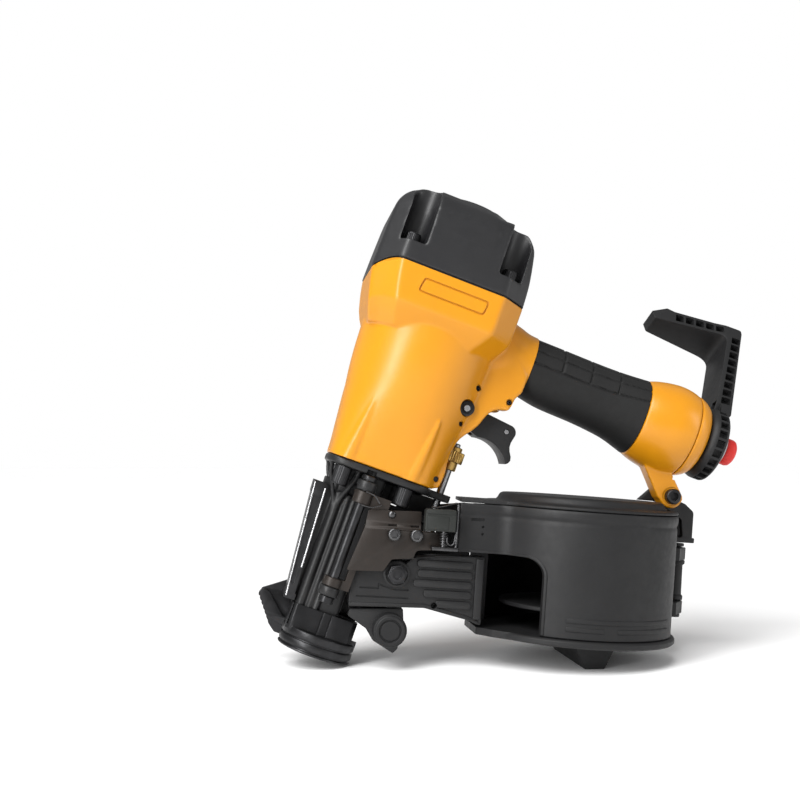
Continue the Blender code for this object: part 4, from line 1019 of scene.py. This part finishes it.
def add_feed():
    y, z = 26, 72
    shell = turned([(8.4, 26), (9, 26.6), (9, 62.2), (8.2, 63)], (y, z), "x", 96)
    join(shell, box((30, y - 6, z + 4), (42, y + 6, 85.7)))
    cut(shell, rod(7, 29, 60, (y, z), "x", 64), rod(2.5, 20, 32, (y, z), "x"))
    stand_in("feed_cylinder", edged(shell, 0.3), TOOL, ALUMINIUM)
    refined("feed_piston", STEEL, 0.2)
    refined("feed_pawl", OXIDE, 0.2)
    stand_in("feed_spring", spring(4.8, 0.7, 36.3, 59.7, 5, (y, z), "x"), TOOL, STEEL)


def door_shape():
    outline = [(-128, 34), (-120, 34.4), (-118.5, 40.5), (-113, 44.5), (-98.5, 48), (-98, 66.4),
               (-121, 65.6)]
    door = turned_over(edged(prism(rounded(outline, 0.6, 2), -27.4, -16), 0.3), TOOL.inverted() @ MAGAZINE)
    for low, high in ((91, 97.9), (43, 48)):
        join(door, chamfered(5.4, low, high, 0.4, DOOR_HINGE))
    join(door, box((-5.5, -27, 91), (10, -21, 97.9)), box((-5.5, -27, 43), (4.5, -21, 48)),
         box((0.8, -27, 43), (4.5, -21, 97.9)))
    cut(door, rod(3.3, 30, 110, DOOR_HINGE))
    for x in DOOR_SCREWS:
        cut(door, turned_over(rod(1.9, -35, -18, (x, 53.6), "y"), TOOL.inverted() @ MAGAZINE))
    return door


def door_plate_shape():
    """Bent steel plate: flat face, a lit bend across it, and a set-back upper band."""
    section = [(-30.6, 30), (-30.6, 55.8), (-30.3, 56.6), (-28.9, 60), (-28.6, 60.8), (-28.6, 70),
               (-27.8, 70), (-27.8, 60.6), (-28.1, 59.6), (-29.1, 56.4), (-29.1, 30)]
    plate = prism(section, -140, -80, "x")
    outline = [(-137, 32.4), (-116.8, 33), (-112.6, 39.8), (-100.6, 41), (-99.4, 45.4), (-83, 46.6),
               (-83, 56), (-97.4, 56.2), (-97.4, 66.8), (-126.9, 66), (-128.2, 57.4)]
    combine(plate, prism(rounded(outline, [1.2, 0.8, 2, 2, 3, 1, 1, 0.6, 1, 1, 0], 4), -35, -25),
            "INTERSECT")
    for x in DOOR_SCREWS:
        cut(plate, rod(2.2, -35, -25, (x, 53.6), "y"), box((x - 3.4, -32, 57.9), (x + 1.4, -27, 58.9)))
    return edged(plate, 0.18)


def latch_shape():
    latch = edged(box((-96.5, -38.6, 57), (-79.5, -30.9, 68.6)), 0.7, 3)
    join(latch, edged(box((-96, -39, 66.4), (-80, -31.4, 69)), 0.35))
    join(latch, edged(box((-95.2, -38.9, 58), (-83.6, -36, 65.2)), 0.3))
    return cut(latch, rod(1.6, 50, 75, LATCH_PIN))


def latch_pin_shape():
    pin = rod(1.2, 48, 64, LATCH_PIN)
    join(pin, edged(box((-92, -38.5, 46.6), (-77.6, -30.9, 48.6)), 0.4))
    return join(pin, rod(0.8, 47.6, 72, (-78.4, -35)))


def latch_wire():
    leaf = between([(-93.5, -36, 69.8), (-90, -36, 69.9), (-86, -36, 70.9), (-82, -35.5, 72.2),
                    (-79.6, -35, 72.8), (-78.5, -35, 72.2), (-78.4, -35, 70)], 5)
    hook = between(
        [(-84, -38, 54), (-83.8, -38, 51.2), (-82, -38, 49.9), (-80.2, -38, 51), (-79.6, -37.4, 55.6)], 5)
    return gather(sweep(leaf, 0.4), sweep(hook, 0.4))


def add_door():
    stand_in("feed_door", door_shape(), TOOL, BROWN)
    stand_in("door_plate", door_plate_shape(), MAGAZINE, BROWN)
    rivet = turned([(2.2, -28.6), (2.1, -29), (1.6, -29.5), (0.9, -29.8), (0.3, -29.9)], (-113.8, 64.2),
                   "y", 32)
    piece("door_rivet", rivet, MAGAZINE, "door", DULL)
    stand_in("latch_block", latch_shape(), MAGAZINE, GREEN)
    stand_in("latch_pin", latch_pin_shape(), MAGAZINE, DULL)
    stand_in("latch_spring", spring(2, 0.4, 48.9, 56.7, 5, LATCH_PIN), MAGAZINE, DULL)
    piece("latch_wire", latch_wire(), MAGAZINE, "latch_pin", DULL)


# Magazine

def magazine_arm_shape():
    outline = [(-134, 12.3), (-92, 13.3), (-67, 7.8), (-59.2, 4.8), (-59.2, 43.6), (-75, 43.4), (-98, 42.3),
               (-103, 38), (-107.5, 33.6), (-134, 33.6)]
    arm = edged(prism(rounded(outline, 1.5, 4), -24, -13), 0.6, 3)
    for row, start in enumerate((-86, -93, -99, -97, -97.5)):
        low = 14 + 5.5 * row
        join(arm, edged(prism(rounded([(start, low), (-66, low), (-66, low + 4.1), (start, low + 4.1)], 2),
                              -25.7, -23), 0.5, 2))
    join(arm, edged(box((-64.6, -26, 8.6), (-60, -23, 42.4)), 0.7))
    recess = turned([(7.4, -23), (7.4, -25.3), (6.9, -25.6)], TRACK_BOLT, "y", 64)
    join(arm, recess)
    rail = prism([(-134, 12.4), (-92, 13.4), (-67, 7.9), (-61, 5.5), (-61, 7.6), (-66.6, 10), (-91.8, 15.6),
                  (-134, 14.6)], -24.9, -23)
    join(arm, edged(rail, 0.4))
    path = [(-106, 39.9), (-100, 40.6), (-93, 41.4), (-86, 42.2), (-79, 42.6), (-73, 42.8)]
    join(arm, sweep(between([(x, -24.1, z) for x, z in path], 3), 0.6))
    join(arm, box((-133, -15, 9.5), (-112, -13.5, 16)))
    floor = [(-122, 12.7), (-92, 13.4), (-67, 7.9), (-61, 5.4), (-61, 8.6), (-67, 10.8), (-92, 16.2),
             (-122, 15.5)]
    far = [(-121, 12.7), (-92, 13.4), (-67, 7.9), (-61.5, 5.4), (-61.5, 70), (-66, 72), (-82, 70),
           (-82, 46), (-86, 46), (-121, 56)]
    join(arm, prism(floor, -14, 13), edged(prism(far, 12, 16), 0.4))
    for marks in ([(-130, 17.8), (-101, 17.8), (-101, 18.6), (-130, 18.6)],
                  [(-128.5, 23.4), (-118.4, 23.4), (-118.4, 26), (-110, 23.2), (-101, 23.2), (-101, 22.4),
                   (-110.4, 22.4), (-117.6, 24.8), (-117.6, 22.6), (-128.5, 22.6)]):
        cut(arm, prism(marks, -24.6, -23.3))
    cut(arm, rod(1.7, -27, -19, (-86.6, 15), "y"), rod(6.1, -26, -25, TRACK_BOLT, "y", 64))
    return cut(arm, rod(2.9, -35, -14.5, TRACK_BOLT, "y"))


def track_bolt_shape():
    bolt = edged(prism(hexagon(10, TRACK_BOLT, 12), -29.6, -25.9), 0.5, 3)
    join(bolt, turned([(4.4, -29.4), (4.2, -30), (3.6, -30.2)], TRACK_BOLT, "y", 48))
    cut(bolt, rod(2.4, -31, -29, TRACK_BOLT, "y"))
    return join(bolt, rod(2.6, -27, -15.5, TRACK_BOLT, "y"))


def wall_outline(near, outward):
    """Plan of half the canister's wall. The near half bends into the flat plate at the throat."""
    radius = 56 + outward
    if not near:
        return arc((0, 0), radius, 0.3, 179.7, 90) + arc((0, 0), 53, 179.7, 0.3, 90)
    outer = arc((0, 0), radius, -0.3, -138, 80)
    inner = arc((0, 0), 53, -141, -0.3, 80)
    bend = [(-49.6, -28.4 - outward), (-75.8, -27.6 - outward), (-75.8, -24.8), (-47.2, -25.4)]
    radii = [0] * len(outer) + [14, 0.8, 0.8, 9] + [0] * len(inner)
    return rounded(outer + bend + inner, radii, 8)


def wall(near, low, high):
    stations = [(low, -0.4), (low + 0.5, 0), (30, 0), (64, 0), (65.6, -0.12), (66.5, -0.5), (67.2, -0.5),
                (68, 0), (69.4, 0.3), (71.4, 0.3), (72.5, 0.1), (high, -0.3)]
    return loft([[(x, y, z) for x, y in wall_outline(near, outward)] for z, outward in stations])


def raised_bars(side):
    """Three outlined bars low on the wall."""
    bars = []
    for low, high, left, right in ((13.2, 15.6, -19, 44.5), (8.6, 11, -19, 1.5), (8.6, 11, 9.5, 44.5)):
        bar = tube(56.5, 55, low, high, count=180)
        ends = rounded([(left, low - 1), (right, low - 1), (right, high + 1), (left, high + 1)], 0.1, 1)
        ends_low, ends_high = sorted((side * 20, side * 70))
        combine(bar, prism(ends, ends_low, ends_high), "INTERSECT")
        bars.append(edged(bar, 0.2))
    return bars


def canister_base_shape():
    base = turned([(57.5, 0), (58.38, 0.9), (58.38, 2.9), (57.8, 3.7), (57, 4)], count=160)
    neck = rounded([(-40, -40), (-54, -29), (-61.5, -21), (-61.5, 14), (-54, 21), (-40, 42)],
                   [0, 6, 2, 2, 6, 0])
    join(base, prism(neck, 0, 4, "z"))
    far = wall(False, 3.5, 73.9)
    cut(far, box((-70, -5, 3), (-40, 14, 60)))
    join(base, far, *raised_bars(1))
    lid = turned([(53.5, 73.4), (55.4, 73.5), (56, 73.8), (56.2, 74.4), (55.9, 75), (55.2, 75.4),
                  (53.8, 75.5), (50.8, 75.5), (49.6, 75.9), (48.6, 77), (47.9, 78.5), (47, 79.6),
                  (45.6, 80.15), (44, 80.2)], count=160)
    cut(lid, turned([(52, 71), (48, 72.8), (44, 77.6)], count=96))
    reach = [(-75.8, -27.8), (-50, -28.6), (-42, -36), (-42, 30), (-54, 16), (-71.5, 16)]
    join(base, lid, edged(prism(reach, 73.5, 75.4, "z"), 0.3), box((-60.5, 13, 3), (-50, 16, 72)))
    join(base, edged(prism([(-9.5, 1.5), (0.5, -17), (9, -17), (17, 1.5)], -34, 34), 0.8, 3))
    knuckle = turned([(4.6, 22.6), (5, 23), (5, 25), (4.1, 26), (3.9, 43.4), (5, 44.4), (5, 46),
                      (4.6, 46.4)], COVER_HINGE, count=48)
    join(base, knuckle, box((53.5, 5, 24), (63, 10.5, 45)))
    cut(base, rod(2.8, 10, 60, COVER_HINGE), rod(3, -3, 10))
    below = box((0, -90, -40), (300, 90, 0))
    return cut(base, turned_over(below, MAGAZINE.inverted() @ ROW @ Matrix.Scale(MM, 4)))


def canister_cover_shape():
    cover = wall(True, 4.3, 73.1)
    window = [(-80, 0), (-31, 0), (-31, 36)] + arc((-41, 36), 10, 0, 90, 14) + [(-80, 46)]
    cut(cover, prism(window, -70, -10))
    rim = [(-31, 2), (-31, 36)] + arc((-41, 36), 10, 0, 90, 14) + [(-70, 46)]
    lip = [(-29.6, 2), (-29.6, 36)] + arc((-41, 36), 11.4, 0, 90, 14) + [(-70, 47.4)]
    band = prism(rim + lip[::-1], -70, -20)
    skin = loft([[(x, y, z) for x, y in wall_outline(True, 0.45)] for z in (5, 60)])
    combine(band, skin, "INTERSECT")
    join(cover, edged(band, 0.2))
    join(cover, *raised_bars(-1))
    cut(cover, edged(box((-69.4, -29.5, 63.6), (-62, -26.9, 65)), 0.4),
        rod(0.7, -29.5, -26.9, (-62.6, 60.4), "y"), rod(0.7, -29.5, -26.9, (-62.6, 56.4), "y"))
    for low, high in ((15, 22.2), (46.8, 54)):
        arm = chamfered(5, low, high, 0.4, COVER_HINGE, count=48)
        join(arm, prism([(54.2, -6), (60, -6), (68, 6), (60, 8), (56.6, 0.5), (54.4, -1)], low, high, "z"))
        join(cover, arm)
    return cut(cover, rod(2.8, 10, 60, COVER_HINGE))


def bracket_shape():
    """Upright frame from the handle's lug to the top of the canister."""
    outline = [(36, 80.7), (47.5, 80.5), (50.8, 76.2), (57, 75), (57, 71.5), (63, 71.5), (64.5, 60),
               (57, 60), (57, 56.8), (70.5, 57.2), (70.5, 75.5), (65, 80)]
    outline += arc((51.5, 84.2), 8.5, -15, 150, 18)
    radii = [0, 2, 2, 0.5, 0.5, 2, 1.5, 0.5, 0.5, 1.5, 3, 3] + [0] * 19
    plate = edged(prism(rounded(outline, radii, 4), 3, 8), 0.7, 3)
    join(plate, edged(box((56.6, 3, 57), (72, 16, 60)), 0.5), box((56.5, 6.4, 58.5), (66, 7.9, 73)))
    return cut(plate, rod(3.4, -5, 15, (51.5, 84.2), "y"))


def add_magazine():
    stand_in("magazine_arm", magazine_arm_shape(), MAGAZINE, CAST)
    stand_in("track_bolt", track_bolt_shape(), MAGAZINE, OXIDE)
    stand_in("canister_base", canister_base_shape(), MAGAZINE, PLASTIC)
    stand_in("canister_cover", canister_cover_shape(), MAGAZINE, PLASTIC)
    stand_in("magazine_bracket", bracket_shape(), MAGAZINE, CAST)
    pin = turned([(3.6, 12.4), (4, 12.8), (4, 14.3), (2.4, 14.7), (2.4, 54.3), (4, 54.7), (4, 56),
                  (3.6, 56.4)], COVER_HINGE, count=48)
    stand_in("canister_hinge_pin", pin, MAGAZINE, OXIDE)
    post = turned([(2.7, 0.8), (2.7, 4.3), (5.7, 4.3), (6.1, 4.7), (6.1, 63.2), (5.3, 64)], count=64)
    stand_in("centre_post", post, MAGAZINE, STEEL)
    disc = turned([(43.4, 16), (44, 16.5), (44, 18), (43.4, 18.5), (9.6, 18.5), (9, 19.2), (9, 25.6),
                   (8.6, 26)], count=96)
    stand_in("nail_platform", cut(disc, rod(6.4, 10, 30, count=64)), MAGAZINE, PLASTIC)


# Light, floor and camera

def add_light(name, location, target, size, power, colour=(1, 1, 1)):
    data = bpy.data.lights.new(name, "AREA")
    data.shape = "RECTANGLE"
    data.size, data.size_y = size
    data.energy = power
    data.color = colour
    light = bpy.data.objects.new(name, data)
    light.location = location
    aim = Vector(target) - Vector(location)
    light.rotation_euler = aim.to_track_quat("-Z", "Y").to_euler()
    bpy.context.scene.collection.objects.link(light)


def add_stage():
    floor = box((-9000, -6000, -20), (9000, 9000, 0))
    floor.name = "floor"
    floor.data.transform(Matrix.Scale(MM, 4))
    look = make_look("floor", (0.96, 0.96, 0.96), (0.95, 0.95, 0.95), (0.6, 0.65), patch=2,
                     grain=(60, 0.0001, 0.1), specular=0.1)
    floor.data.materials.append(look)
    world = bpy.data.worlds.new("studio")
    bpy.context.scene.world = world
    world.use_nodes = True
    tree = world.node_tree
    ray = add_node(tree, "ShaderNodeLightPath").outputs["Is Camera Ray"]
    strength = add_node(tree, "ShaderNodeMapRange", {"Value": ray, "To Min": 0.38, "To Max": 1})
    background = tree.nodes["Background"]
    background.inputs["Color"].default_value = (1, 1, 1, 1)
    tree.links.new(strength.outputs["Result"], background.inputs["Strength"])
    sun = bpy.data.lights.new("key", "SUN")
    sun.energy = 2.95
    sun.angle = math.radians(38)
    light = bpy.data.objects.new("key", sun)
    light.rotation_euler = Vector((0.5, 0.62, -1)).to_track_quat("-Z", "Y").to_euler()
    bpy.context.scene.collection.objects.link(light)
    add_light("front", (-0.75, -0.75, 0.42), (-0.03, 0, 0.17), (0.28, 0.8), 9)
    add_light("side", (1.3, -0.7, 0.55), (0, 0, 0.12), (0.4, 0.8), 4)


def add_camera():
    data = bpy.data.cameras.new("camera")
    data.lens = 50.94
    data.sensor_width = 36
    data.clip_start = 0.01
    data.shift_y = 0.0667
    camera = bpy.data.objects.new("camera", data)
    camera.location = (-0.1518, -0.6508, 0.12)
    forward = Vector((0.1219, 0.9925, 0))
    camera.rotation_euler = forward.to_track_quat("-Z", "Y").to_euler()
    bpy.context.scene.collection.objects.link(camera)
    bpy.context.scene.camera = camera


add_body()
add_cylinder()
add_screws()
add_trigger()
add_nose()
add_feed()
add_door()
add_magazine()
add_stage()
add_camera()
bpy.context.scene.view_settings.view_transform = "Standard"
